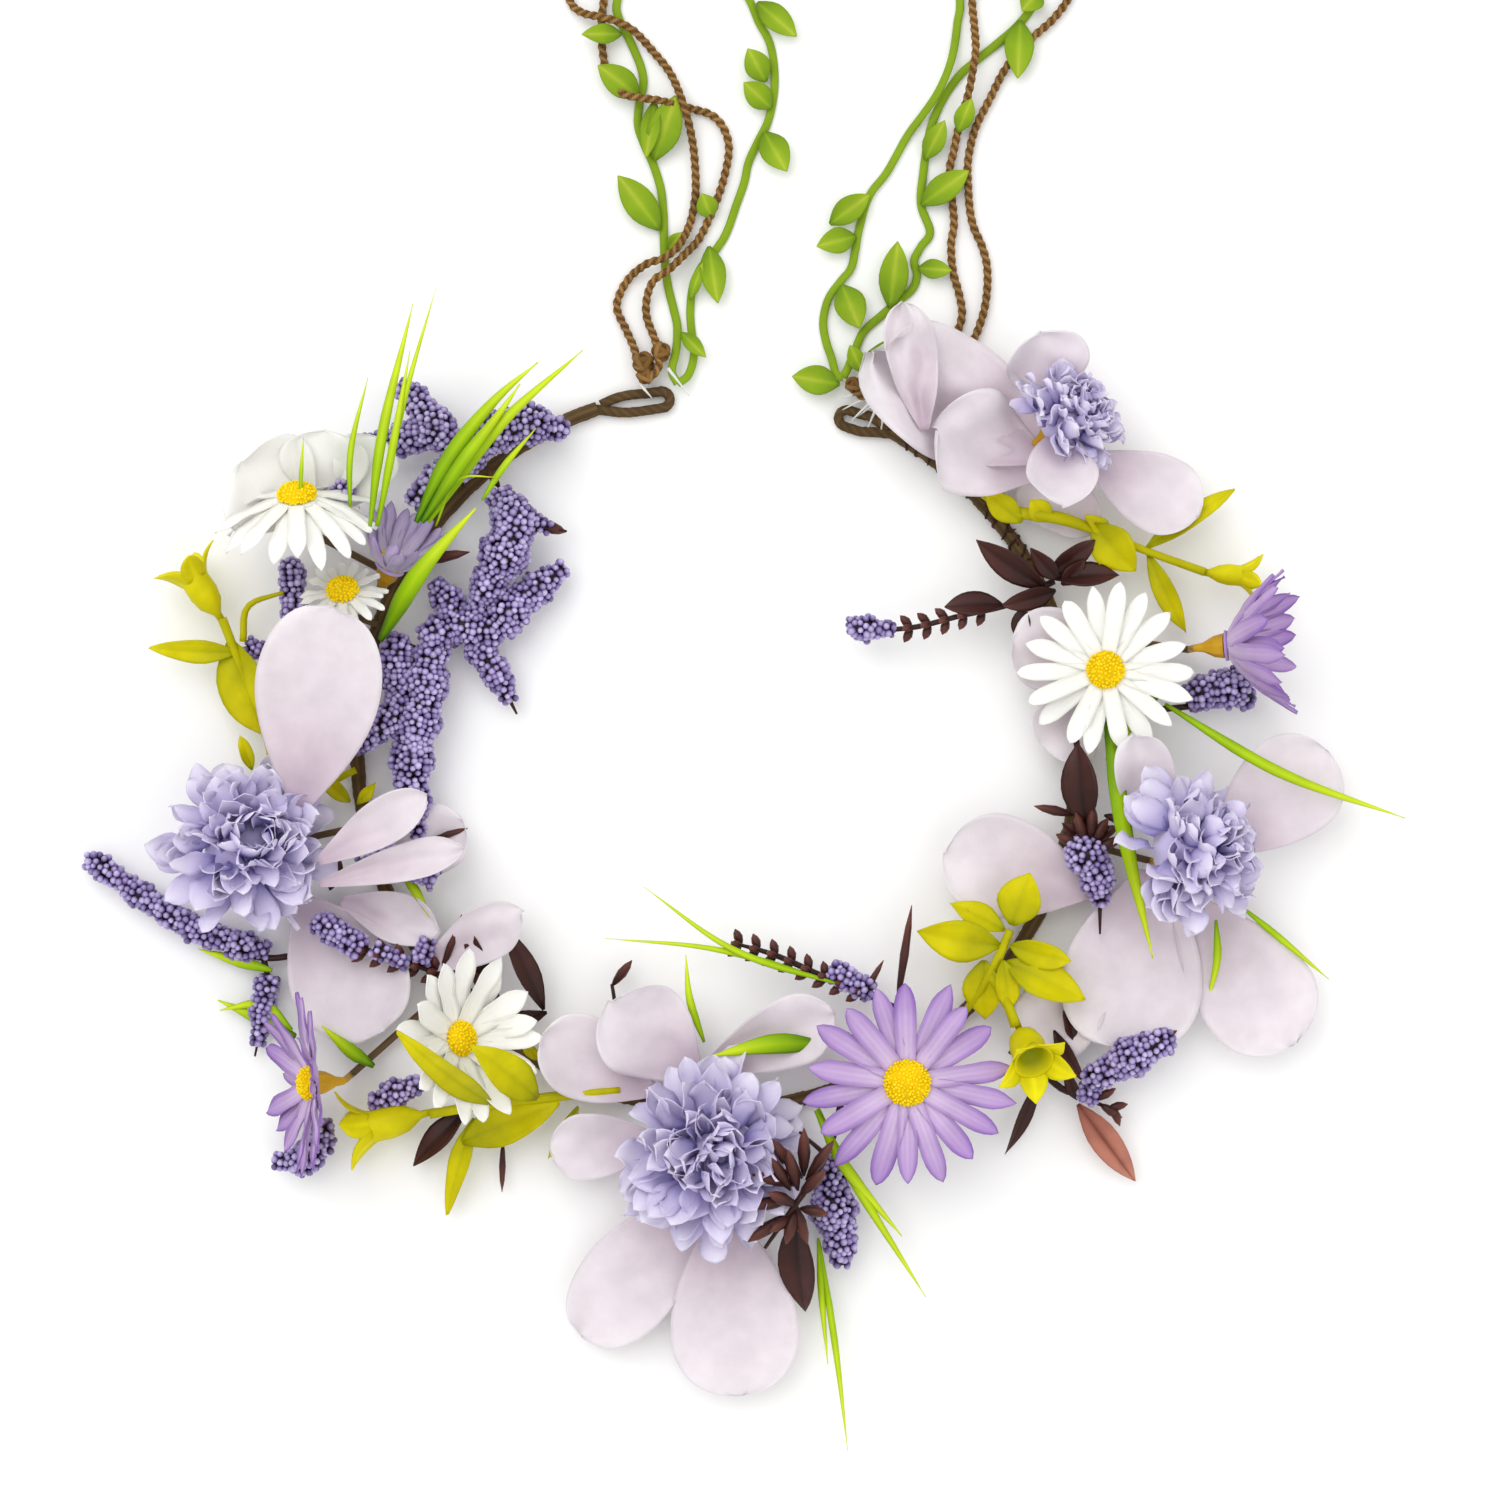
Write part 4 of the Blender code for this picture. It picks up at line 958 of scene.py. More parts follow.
# Leaves as (base, tip, width)
BURGUNDY_LEAVES = {
    "low_left": (
        ((-66.8, -36.3, 8.5), (-77.2, -12.7, 11), 5.5), ((-54.8, -38.4, 8.5), (-65.7, -14.8, 12), 6.6),
        ((-54, -39.1, 7.5), (-72.8, -43.4, 8), 6.1), ((-76.2, -65.9, 7), (-91, -81.3, 6), 7.2),
        ((-66.3, -74.4, 4), (-66.6, -88.7, 3), 1.9), ((-83, -28.8, 10), (-76.9, -12.1, 12), 2.2),
        ((-66.8, -36.3, 8.5), (-74.8, -26.8, 11), 3.9),
    ),
    "upper_right": (
        ((81.8, 76.5, 12), (62.4, 89.4, 14), 8), ((69.8, 72.1, 13), (54, 71.5, 14), 7.4),
        ((84.5, 75.9, 12), (69.8, 71.5, 13), 6.6), ((75.8, 71.6, 12), (74.9, 61.3, 10), 5.5),
        ((84.5, 79.2, 12), (101.7, 80.2, 14), 7.4), ((82.9, 80.8, 12), (95.2, 89.4, 14), 6.6),
        ((85.6, 78.6, 12), (77.3, 87.2, 14), 5.5), ((86.1, 77.3, 12), (92.2, 84, 14), 5.5),
    ),
    "bottom": (
        ((41.4, -36.6, 11), (45.3, -9.6, 13), 2.5), ((13.7, -92.6, 24), (16.1, -121.4, 8), 10.5),
        ((15.3, -82.1, 27), (6.7, -70.9, 31), 3.6), ((15.8, -81.5, 27), (15.8, -68.2, 32), 3.6),
        ((16.4, -82.6, 27), (23.8, -71.6, 30), 3.3), ((14, -83.9, 27), (1.9, -80.7, 30), 3.6),
        ((13.2, -88.1, 26), (-0.2, -89.3, 29), 3.6), ((11, -92.2, 25), (0.8, -99.3, 26), 3.6),
        ((12.6, -88.1, 26), (16.9, -99.9, 26), 3.6), ((12.1, -85.2, 28), (7.2, -76, 33), 3.3),
        ((14.2, -85.2, 28), (11.5, -73.8, 34), 3.6), ((14.7, -86.5, 28), (21.6, -79.2, 33), 3.6),
        ((13.7, -89.2, 28), (6.2, -85.1, 33), 3.6), ((13.7, -90.6, 27), (11, -99.6, 28), 3.6),
        ((14.8, -90.1, 27), (22.2, -91.4, 29), 3.3), ((12.6, -92.1, 26), (6.7, -96.1, 30), 3.3),
        ((-36.4, -32.1, 5), (-30.8, -24.9, 7), 2.8), ((31.3, -35.5, 12), (37.7, -24.5, 13), 1.9),
    ),
    "right": (
        ((92.4, 11.9, 15), (89.8, 34.6, 17), 10.5), ((89.9, 14.8, 12), (78.4, 17.3, 14), 2.8),
        ((97.4, 14.8, 14), (104.4, 12.9, 14), 2.8), ((91.9, 7.5, 14), (85.9, 12.9, 15), 3.9),
        ((93.6, 7.5, 14), (101.1, 11.9, 15), 3.9), ((91.3, 6.4, 15), (84.3, 9.7, 15), 3.6),
        ((93.5, 6.4, 15), (98.3, 14.1, 16), 3.6), ((92.3, 6.5, 16), (89.6, 15.7, 16), 3.6),
        ((94.6, 5.4, 15), (102.1, 8.6, 15), 3.3), ((93.3, 8.7, 17), (94.4, 17.3, 17), 3.3),
    ),
    "low_right": (
        ((80.7, -56.2, 5.5), (71.4, -78.6, 5), 4.1), ((84.1, -43.8, 10), (92.3, -57.9, 10), 4.4),
        ((90.9, -63.1, 7), (87.5, -54.8, 9), 3.9), ((89.7, -46.6, 9), (86.9, -38.3, 10), 3.9),
        ((96.9, -64.1, 8), (102.9, -67.9, 8), 2.8), ((99, -65.2, 8), (104.5, -64.1, 8), 2.5),
        ((95.7, -62.9, 9), (101, -59.6, 10), 2.5), ((100.1, -64.1, 8), (102.3, -70.1, 8), 2.5),
        ((109.8, -47.8, 14), (117.4, -43.5, 14), 2.5),
    ),
    "upper_left": (
        ((-55.6, 93.8, 13), (-48.6, 91.7, 12), 3.3), ((-66.6, 103.7, 11), (-69.8, 108.5, 12), 2.2),
    ),
    "inner_left": (
        ((-91.2, 83.9, 4), (-74.9, 86.4, 10), 3.3), ((-113, -5.7, 10), (-110, 3.7, 12), 3.9),
        ((-85.9, 7.9, 8), (-75.5, 11.2, 9), 1.9),
    ),
}

CORAL_LEAF = ((90.9, -64.2, 7), (107, -85.8, 5), 8.2)

# Each bell pick's stems, as runs of (x, y, z, radius)
LIME_STEMS = {
    "left": (
        (
            (-106.4, 27, 5.2, 1), (-125.8, 18.8, 5.2, 1), (-130.1, 35.2, 8, 1.3), (-135.8, 51.5, 10, 1.2),
            (-142.1, 68.3, 12, 1.3),
        ),
        ((-136.5, 62.1, 11, 1), (-134.9, 71.5, 13, 0.9), (-125, 75.3, 14, 0.5)),
    ),
    "low_left": (
        ((-34.1, -60.2, 9, 1), (-50.3, -61.7, 11, 1.4), (-68.7, -63.7, 12, 1.4), (-85.7, -66.6, 10, 1.4)),
    ),
    "low_right": (
        ((60.1, -38.2, 12, 1), (66.4, -28.5, 15, 1.4), (71.7, -16.2, 17, 1.2)),
        ((66.4, -28.5, 15, 1.4), (71.2, -36.6, 16, 1.4), (73.4, -42.2, 16, 1.6)),
    ),
    "upper_right": (
        (
            (62.9, 104.1, 6, 1), (72.2, 97.8, 10, 1.6), (85.6, 95.5, 12, 1.8), (96.5, 91.7, 12, 1.3),
            (110.1, 86.2, 12, 1.1), (124.9, 80.8, 13, 1.2),
        ),
    ),
}

# Leaves as (base, tip, width)
LIME_LEAVES = {
    "left": (
        ((-137.9, 59.1, 11), (-162.2, 60.2, 12), 6.6), ((-140.2, 62.4, 10), (-131.6, 36.3, 9), 14.3),
        ((-131.6, 46.1, 9), (-126.2, 34.6, 9), 7.2), ((-134.6, 27, 7), (-137.8, 36.5, 8), 3.9),
        ((-107.7, 18.3, 8), (-115.8, 25.9, 9), 5), ((-105.8, 17.7, 8), (-100.5, 23.7, 9), 3.3),
    ),
    "low_left": (
        ((-67.4, -62.3, 27), (-90.3, -41.3, 56), 7.7), ((-55.4, -60.8, 26), (-71.8, -45.4, 43), 10.5),
        ((-77.1, -74.4, 9), (-50.2, -63.2, 12), 12.1), ((-73.9, -67.9, 8), (-81.8, -95.1, 5), 6.1),
        ((-45.5, -64.7, 8), (-53.8, -79.6, 6), 4.4), ((-55.8, -51.9, 10), (-60.6, -47.5, 11), 3.3),
    ),
    "low_right": (
        ((72.2, -14.9, 17), (76.9, -0.5, 19), 12.1), ((70.3, -16.2, 17), (55.3, -8.6, 19), 7.2),
        ((69, -20.3, 17), (46.2, -16.6, 19), 11.6), ((64.8, -24.4, 15), (64.9, -40.8, 13), 11),
        ((70.6, -24.9, 17), (92, -35, 19), 11), ((71.6, -20.2, 18), (88.2, -24.7, 19), 8.2),
        ((69.7, -24.3, 18), (71.7, -37.9, 16), 7.2), ((64.9, -16.2, 17), (60.2, -9.4, 18), 5.5),
    ),
    "upper_right": (
        ((75.4, 94.5, 11), (65, 102.8, 12), 7.2), ((94.7, 93.8, 13), (106.1, 80.8, 13), 11.6),
        ((109, 87.3, 12), (133.3, 103.6, 13), 6.1), ((109.6, 85.8, 11), (120.2, 64.1, 9), 6.1),
        ((82.9, 94.9, 12), (77.4, 100.3, 13), 6.6), ((99.2, 90.9, 12), (92.3, 96.2, 13), 5),
    ),
}

# Bells as (foot, middle of the mouth, radius of the mouth)
BELLS = {
    "left": ((-142.1, 67.8, 12), (-151.6, 82.3, 14), 6.0),
    "low_left": ((-85.7, -66.1, 10), (-106.9, -71.4, 11), 6.6),
    "low_right": ((74, -42.3, 15), (77.8, -52, 28), 7.2),
    "upper_right": ((124.5, 80.8, 12), (138.3, 79.5, 12), 4.3),
}

# Blades as (points from base to tip, width)
GRASS_BLADES = {
    "left": (
        (((-99.9, 92.1, 31), (-96.1, 117.5, 34), (-88.7, 151.9, 28)), 2.8),
        (((-97.8, 92.1, 31), (-93.1, 114.7, 35), (-89.2, 139, 31)), 2.2),
        (((-98.3, 92.1, 31), (-90.6, 125.5, 33), (-82.6, 156.3, 27)), 1.7),
        (((-105.5, 96.1, 28), (-105.1, 112.5, 30), (-100.9, 132.4, 26)), 1.7),
        (((-87.6, 93.2, 31), (-79.3, 108.9, 35), (-67.4, 124.9, 31), (-55.4, 136.4, 26)), 4.1),
        (((-85.9, 93.1, 32), (-75, 108.8, 36), (-65, 122.2, 34), (-60, 130.1, 30)), 3.6),
        (((-84.4, 93.2, 31), (-65.1, 118.9, 33), (-43.4, 139.6, 26)), 3.3),
        (((-70.1, 99.1, 30), (-64, 108.5, 30), (-55.9, 118.7, 26)), 1.9),
        (((-82.4, 92.2, 30), (-76.8, 104.3, 33), (-65.8, 105.2, 31)), 1.1),
        (((-98.5, 62.2, 18), (-86.7, 79.9, 30), (-71.8, 97.1, 29)), 5.2),
        (((-117.9, 98.7, 36), (-117.3, 109.3, 37), (-116.9, 115.7, 36)), 1.1),
        (((-129, -27.6, 8), (-139.1, -25, 6), (-149.5, -22.1, 4)), 3.3),
        (((-123.6, -43.9, 8), (-132, -37, 6), (-143.8, -38.8, 4)), 3),
        (((-122.5, -45.6, 8), (-133.2, -40.9, 5), (-144.5, -36.1, 3)), 3.9),
        (((-101, -53.6, 10), (-107.3, -49.1, 12), (-114.9, -42.5, 12)), 3.9),
        (((-93.5, -0.8, 9), (-88.9, -7, 11), (-85.7, -13.2, 11)), 2.8),
    ),
    "bottom": (
        (((26.3, -31.2, 15), (-2.7, -21.6, 18), (-27.3, -4.6, 16)), 1.9),
        (((26.3, -31.2, 15), (-6.7, -21.6, 17), (-37.9, -18.5, 15)), 1.7),
        (((-11.1, -47, 10), (-14.9, -35.3, 14), (-16, -23.1, 14)), 2.2),
        (((21.4, -47.3, 14), (6.8, -47.2, 15), (-8.9, -50.5, 14)), 5.5),
        (((19.8, -64.3, 17), (28.4, -82.4, 17), (49.4, -116.8, 8)), 2.5),
        (((19.2, -64.8, 18), (27.3, -80.4, 18), (42.7, -99.7, 11)), 3.3),
        (((20.2, -101, 10), (24.8, -131.2, 8), (28.2, -159.7, 3)), 1.9),
        (((19.9, -100.4, 10), (21, -117.4, 9), (22.7, -135.6, 5)), 1.9),
    ),
    "right": (
        (((112.5, 48.7, 14), (104.2, 40.6, 16), (97.8, 29.7, 15)), 5.5),
        (((99, 46, 14), (99.3, 35.2, 16), (100.5, 21.6, 15)), 3.9),
        (((113.4, 44.9, 18), (143.6, 26.5, 24), (179.3, 14, 12)), 3),
        (((97.7, 46, 16), (101.8, 11, 24), (110.6, -23.9, 14)), 4.7),
        (((128, -13.7, 12), (128.3, -24.6, 12), (125.9, -36.8, 9)), 2.2),
        (((134.2, -9.6, 14), (146.6, -19.7, 13), (159, -29.9, 10)), 1.9),
    ),
}

# Silk petals as (base, tip, width, curl in degrees, ruffle, cup)
SILK_PETALS = {
    "bottom": (
        ((-11.2, -87.7, 7), (-44.5, -128, 8), 27, 10, 1.5, 0.12),
        ((-6.3, -93, 8), (-0.8, -143.6, 9), 35.2, 8, 1.4, 0.1),
        ((-23.2, -73.9, 8), (-53.2, -76.2, 12), 18.7, 10, 1.2, 0.15),
        ((-25.4, -60.8, 8), (-55.5, -44.4, 16), 23.1, 14, 1.5, 0.2),
        ((-13.3, -56.4, 9), (-36.4, -35.1, 18), 27, 12, 2, 0.15),
        ((-11.1, -54.7, 10), (24.6, -38.4, 16), 19.2, 14, 1.5, 0.2),
    ),
    "left": (
        ((-119.9, 17.4, 20), (-109.4, 70.6, 36), 33.6, 4, 0.8, 0.1),
        ((-114.3, 2.5, 26), (-84.3, 20.7, 32), 12.7, 16, 1.2, 0.3),
        ((-113.9, -3.5, 25), (-74.5, 6.8, 29), 10.5, 18, 1.5, 0.3),
        ((-121.5, -8.5, 7), (-98.3, -44.3, 10), 32.5, 8, 2, 0.1),
        ((-87.4, -26.9, 10), (-59.7, -11.3, 18), 15.4, 16, 2, 0.2),
        ((-99.7, -3, 7), (-77.1, 13.9, 9), 19.2, 8, 1.5, 0.1),
        ((-110.5, -8.5, 8), (-82.9, -16.5, 12), 13.8, 12, 2, 0.2),
    ),
    "right": (
        ((112.1, 10.3, 18), (104, 36.7, 28), 16.5, 10, 1, 0.15),
        ((128, 5.3, 12), (158.6, 31.9, 14), 28.6, 6, 1.2, 0.1),
        ((117.5, -7.3, 9), (149.9, -47.5, 11), 31.9, 8, 1.6, 0.1),
        ((110.4, -0.3, 9), (102, -49.1, 11), 38.5, 6, 2, 0.08),
        ((94.6, -5.7, 9), (54, 4.8, 13), 28.6, 10, 1.6, 0.15),
        ((101.2, -22.1, 8), (75.5, -50.9, 9), 23.1, 8, 1.6, 0.1),
        ((97.8, 55.9, 10), (72.5, 62.3, 13), 23.1, 6, 1, 0.1),
        ((94.6, 46.1, 9), (82.4, 31.9, 11), 20.9, 6, 1, 0.1),
    ),
    "top_right": (
        ((81.8, 112.3, 12), (34.3, 140.5, 18), 35.2, 14, 7, 0.15),
        ((48.6, 118.9, 18), (42.4, 152.7, 24), 14.3, 8, 5, 0.3),
        ((82, 108.7, 10), (51, 119.3, 19), 29.7, 14, 3.5, 0.15),
        ((84.3, 127.4, 14), (79.4, 145.1, 22), 23.1, 12, 1.2, 0.15),
        ((84.8, 118.5, 22), (83.6, 96.7, 42), 19.2, 8, 1, 0.2),
        ((92.7, 112.3, 12), (123.1, 95.8, 16), 21.5, 10, 1.4, 0.15),
        ((89.7, 108.8, 9), (82.8, 92.6, 6), 25.3, 4, 0.6, 0.05),
    ),
    "upper_left": (
        ((-117.2, 95.5, 20), (-135.2, 109.6, 26), 30.8, 10, 1.5, 0.15),
        ((-113.4, 97.7, 20), (-112.2, 118.2, 26), 24.2, 10, 1.2, 0.12),
        ((-107.5, 98.2, 20), (-98.5, 116.7, 24), 18.2, 10, 1, 0.12),
    ),
}

# Leaves of each ribbon as (base, tip, width)
RIBBON_LEAVES = {
    "leaf_left_a": (
        ((-23.3, 175.2, 2), (-34.8, 189.9, 4), 8.8), ((-24.7, 194.3, 2.6), (-18.9, 211.8, 4.4), 9.4),
        ((-28.8, 211.5, 3), (-40.2, 219.7, 6), 8.2), ((-33.7, 228.8, 3), (-44.5, 228, 7), 5.5),
        ((-17.5, 146.9, 4), (-10.7, 140, 5), 4.4), ((-21.1, 169.7, 2), (-17.3, 174.5, 3), 3.9),
        ((-24.7, 210.6, 3.4), (-27.1, 194.5, 4.6), 5.5),
    ),
    "leaf_left_b": (
        ((-9.9, 170.8, 2), (-7.4, 154.9, 4), 7.2), ((-9.1, 178.5, 2), (-11.8, 185, 4), 6.1),
        ((5.2, 202.1, 2), (11.5, 191, 4), 8.2), ((7.4, 208.6, 2), (-0.3, 215.4, 4), 7.2),
        ((5.8, 215.8, 2), (0.8, 224.7, 4), 7.2), ((3.3, 237.7, 2), (14.2, 228, 4), 7.2),
        ((-15.1, 155.8, 3), (-11.5, 166.1, 4), 3.3),
    ),
    "leaf_right_a": (
        ((26, 132.7, 4), (12.9, 134.9, 4), 8.2), ((30.5, 173.5, 2), (19.7, 170.5, 4), 7.2),
        ((23.3, 176.8, 2), (34.2, 184.7, 4), 7.2), ((26.6, 160.1, 2), (31.5, 148, 4), 8.8),
        ((32.1, 136, 4), (28.7, 143.3, 5), 5),
    ),
    "leaf_right_b": (
        ((39.8, 153.8, 2), (41.9, 171.9, 4), 8.2), ((47.5, 164.7, 2), (56.7, 163.9, 4), 5.5),
        ((33.7, 141.4, 4.6), (46.5, 145.1, 6), 3.3), ((48.3, 182, 2), (61.4, 191.3, 4), 7.7),
        ((75.5, 232.8, 2), (74.8, 216.5, 4), 8.2), ((58.4, 201.8, 3.4), (62, 210.6, 6.4), 5.5),
        ((49.4, 194.4, 2), (54.8, 205, 4), 6.1), ((81, 241, 2), (75.9, 235.1, 4), 7.2),
    ),
}

GLUE_STRANDS = (
    ((32, 130.4, 5), (25.5, 128.9, 4)), ((33.7, 129.3, 5), (26.6, 125.7, 3)),
    ((34.8, 128.2, 5), (28.8, 122.4, 3)), ((36.4, 127.2, 4), (33.2, 119.7, 2)),
    ((38.1, 126.1, 4), (37.1, 117.8, 2)), ((32.6, 131, 5), (27.7, 131.6, 4)), ((35.9, 127.7, 5), (31, 124, 3)),
    ((-28.7, 132.6, 5), (-25.4, 128.7, 6)), ((-21.1, 137, 5), (-15.1, 129.4, 4)),
)


# --------------------------------------------------------------------------------------------------
# Shared shapes
# --------------------------------------------------------------------------------------------------


def settle(piece: bpy.types.Object, slot: str, *nodes: str, body: str = CROWN) -> bpy.types.Object:
    """Puts a piece on its body and hides the CAD nodes it stands for.

    Args:
        piece: The piece.
        slot: The record's material slot; not used.
        nodes: The CAD nodes it replaces.
        body: The CAD body it moves with.

    Returns:
        The piece.
    """
    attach(piece, body)
    if nodes:
        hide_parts(*nodes)
    LOG.info("%s: %d faces on %s", piece.name, len(piece.data.polygons), body)
    return piece


def aimed(base: Point, tip: Point, roll: float = 0.0) -> tuple[Matrix, float]:
    """The place and length of a part that grows from one point to another.

    Args:
        base: Where it starts.
        tip: Where it ends.
        roll: Its turn about its own length, in degrees.

    Returns:
        Its matrix and its length.
    """
    span = Vector(tip) - Vector(base)
    heading = math.degrees(math.atan2(span.y, span.x))
    rise = math.degrees(math.atan2(span.z, math.hypot(span.x, span.y)))
    return placed(base, heading, rise, roll), span.length


def add_leaf(
    parts: MeshParts,
    base: Point,
    tip: Point,
    width: float,
    bow: float = 16.0,
    roll: float = 0.0,
    rib_tone: float = 0.0,
    wave: float = 0.3,
) -> None:
    """Adds an almond leaf with a pressed midrib, bowed upwards between its ends.

    Args:
        parts: The mesh it joins.
        base: Where it starts.
        tip: Where it ends.
        width: Its greatest width.
        bow: How steeply it sets out, in degrees.
        roll: Its turn about its own length, in degrees.
        rib_tone: Tone of its midrib against the rest.
        wave: How far its edges wave.
    """
    matrix, length = aimed(base, tip, roll)
    leaf = Petal(
        length=length, width=width, base=0.12, widest=0.45, tip=0.95, cup=0.1, start=bow, bend=-2 * bow,
        rib=min(0.6, width * 0.06), rib_tone=rib_tone, thickness=0.35, rows=10, cols=8, tones=(0.2, 0.5, 0.65),
        edge_tone=-0.1, ruffle=wave, waves=1.3, phase=base[0] + tip[1],
    )  # fmt: skip
    leaf.onto(parts, matrix)


def add_pod(parts: MeshParts, base: Point, tip: Point, width: float) -> None:
    """Adds a seed pod: a fat, pointed leaf, round in section.

    Args:
        parts: The mesh it joins.
        base: Where it starts.
        tip: Where it ends.
        width: Its greatest width.
    """
    matrix, length = aimed(base, tip)
    profile = [(0.0, 0.1), (0.2, 0.34), (0.5, 0.5), (0.78, 0.36), (1.0, 0.04)]
    points, faces = revolved([(x * length, r * width) for x, r in profile], 6)
    parts.add(moved(points, matrix), faces, np.repeat([0.15, 0.35, 0.55, 0.7, 0.85], 6))


def add_tube(
    parts: MeshParts, run: Sequence[Point], spacing: float = 2.0, sides: int = 7, tone: float = 0.3
) -> None:
    """Adds a tapered tube through a run of (x, y, z, radius).

    Args:
        parts: The mesh it joins.
        run: The points.
        spacing: The distance between its rings.
        sides: How many sides it has.
        tone: Its tone.
    """
    path = smooth_path(run, spacing)
    points, faces = sweep(path, np.maximum(path[:, 3], 0.12), sides=sides)
    parts.add(points, faces, np.array(tone))


def revolved(profile: Sequence[tuple[float, float]], sides: int) -> tuple[np.ndarray, Faces]:
    """A closed shell turned about +X.

    Args:
        profile: Its outline, as (x, radius).
        sides: How many sides it has.

    Returns:
        Its corners and faces.
    """
    angles = np.arange(sides) * 2 * math.pi / sides
    rows = [np.stack([np.full(sides, x), r * np.cos(angles), r * np.sin(angles)], axis=1) for x, r in profile]
    return np.vstack(rows), ring_faces(len(profile), sides)


class BeadScatter:
    """A Geometry Nodes tree that covers a surface with small round beads."""

    def __init__(self) -> None:
        """Makes the tree and its named inputs."""
        self.tree = bpy.data.node_groups.new("scatter_beads", "GeometryNodeTree")
        face = self.tree.interface
        face.new_socket("Surface", in_out="INPUT", socket_type="NodeSocketGeometry")
        for name in ("Spacing", "Radius", "Spread", "Shading"):
            face.new_socket(name, in_out="INPUT", socket_type="NodeSocketFloat")
        face.new_socket("Seed", in_out="INPUT", socket_type="NodeSocketInt")
        face.new_socket("Material", in_out="INPUT", socket_type="NodeSocketMaterial")
        face.new_socket("Beads", in_out="OUTPUT", socket_type="NodeSocketGeometry")
        self.wire_up()

    def wire_up(self) -> None:
        """Links the tree: points on the surface, moved out a little, each a bead with painted light: lighter on
        its outward top and darker down its sides, as painted highlight and painted shade.
        """
        tree = self.tree
        given = add_node(tree, "NodeGroupInput").outputs
        spots = add_node(
            tree,
            "GeometryNodeDistributePointsOnFaces",
            {"distribute_method": "POISSON"},
            {
                "Mesh": given["Surface"],
                "Distance Min": given["Spacing"],
                "Density Max": 4.0e6,
                "Seed": given["Seed"],
            },
        )
        reach = add_node(
            tree, "FunctionNodeRandomValue", {"data_type": "FLOAT"}, {2: -0.5, 3: 1.0, "Seed": given["Seed"]}
        )
        push = add_node(
            tree, "ShaderNodeMath", {"operation": "MULTIPLY"}, {0: reach.outputs[1], 1: given["Spread"]}
        )
        offset = add_node(
            tree,
            "ShaderNodeVectorMath",
            {"operation": "SCALE"},
            {0: spots.outputs["Normal"], "Scale": push.outputs[0]},
        )
        moved_out = add_node(
            tree,
            "GeometryNodeSetPosition",
            None,
            {"Geometry": spots.outputs["Points"], "Offset": offset.outputs[0]},
        )
        ball = add_node(
            tree, "GeometryNodeMeshUVSphere", None, {"Segments": 7, "Rings": 5, "Radius": given["Radius"]}
        )
        # Painted light: each bead keeps the height of its corners over its own middle, which the Rotation below
        # turns along the surface's normal, so its outward top is painted lighter and its sides, down towards
        # the gaps, darker.
        height = add_node(
            tree, "ShaderNodeSeparateXYZ", None, {0: add_node(tree, "GeometryNodeInputPosition").outputs[0]}
        )
        share = add_node(
            tree, "ShaderNodeMath", {"operation": "DIVIDE"}, {0: height.outputs["Z"], 1: given["Radius"]}
        )
        bead = add_node(
            tree,
            "GeometryNodeStoreNamedAttribute",
            {"data_type": "FLOAT", "domain": "POINT"},
            {"Geometry": ball.outputs["Mesh"], "Name": "height", "Value": share.outputs[0]},
        )
        size = add_node(tree, "FunctionNodeRandomValue", {"data_type": "FLOAT"}, {2: 0.8, 3: 1.12, "Seed": 5})
        beads = add_node(
            tree,
            "GeometryNodeInstanceOnPoints",
            None,
            {
                "Points": moved_out.outputs[0],
                "Instance": bead.outputs[0],
                "Rotation": spots.outputs["Rotation"],
                "Scale": size.outputs[1],
            },
        )
        chance = add_node(tree, "FunctionNodeRandomValue", {"data_type": "FLOAT"}, {2: 0.24, 3: 0.6, "Seed": 9})
        marked = add_node(
            tree,
            "GeometryNodeStoreNamedAttribute",
            {"data_type": "FLOAT", "domain": "INSTANCE"},
            {"Geometry": beads.outputs[0], "Name": "chance", "Value": chance.outputs[1]},
        )
        real = add_node(tree, "GeometryNodeRealizeInstances", None, {"Geometry": marked.outputs[0]})
        own, up = (
            add_node(tree, "GeometryNodeInputNamedAttribute", {"data_type": "FLOAT"}, {"Name": name}).outputs[0]
            for name in ("chance", "height")
        )
        # Tone: the bead's own random tone plus painted highlight on its top and painted shade down its sides.
        tone = add_node(
            tree, "ShaderNodeMath", {"operation": "MULTIPLY_ADD"}, {0: up, 1: given["Shading"], 2: own}
        )
        toned = add_node(
            tree,
            "GeometryNodeStoreNamedAttribute",
            {"data_type": "FLOAT", "domain": "POINT"},
            {"Geometry": real.outputs[0], "Name": "tone", "Value": tone.outputs[0]},
        )
        smooth = add_node(tree, "GeometryNodeSetShadeSmooth", None, {"Geometry": toned.outputs[0]})
        finished = add_node(
            tree,
            "GeometryNodeSetMaterial",
            None,
            {"Geometry": smooth.outputs[0], "Material": given["Material"]},
        )
        add_node(tree, "NodeGroupOutput", None, {"Beads": finished.outputs[0]})

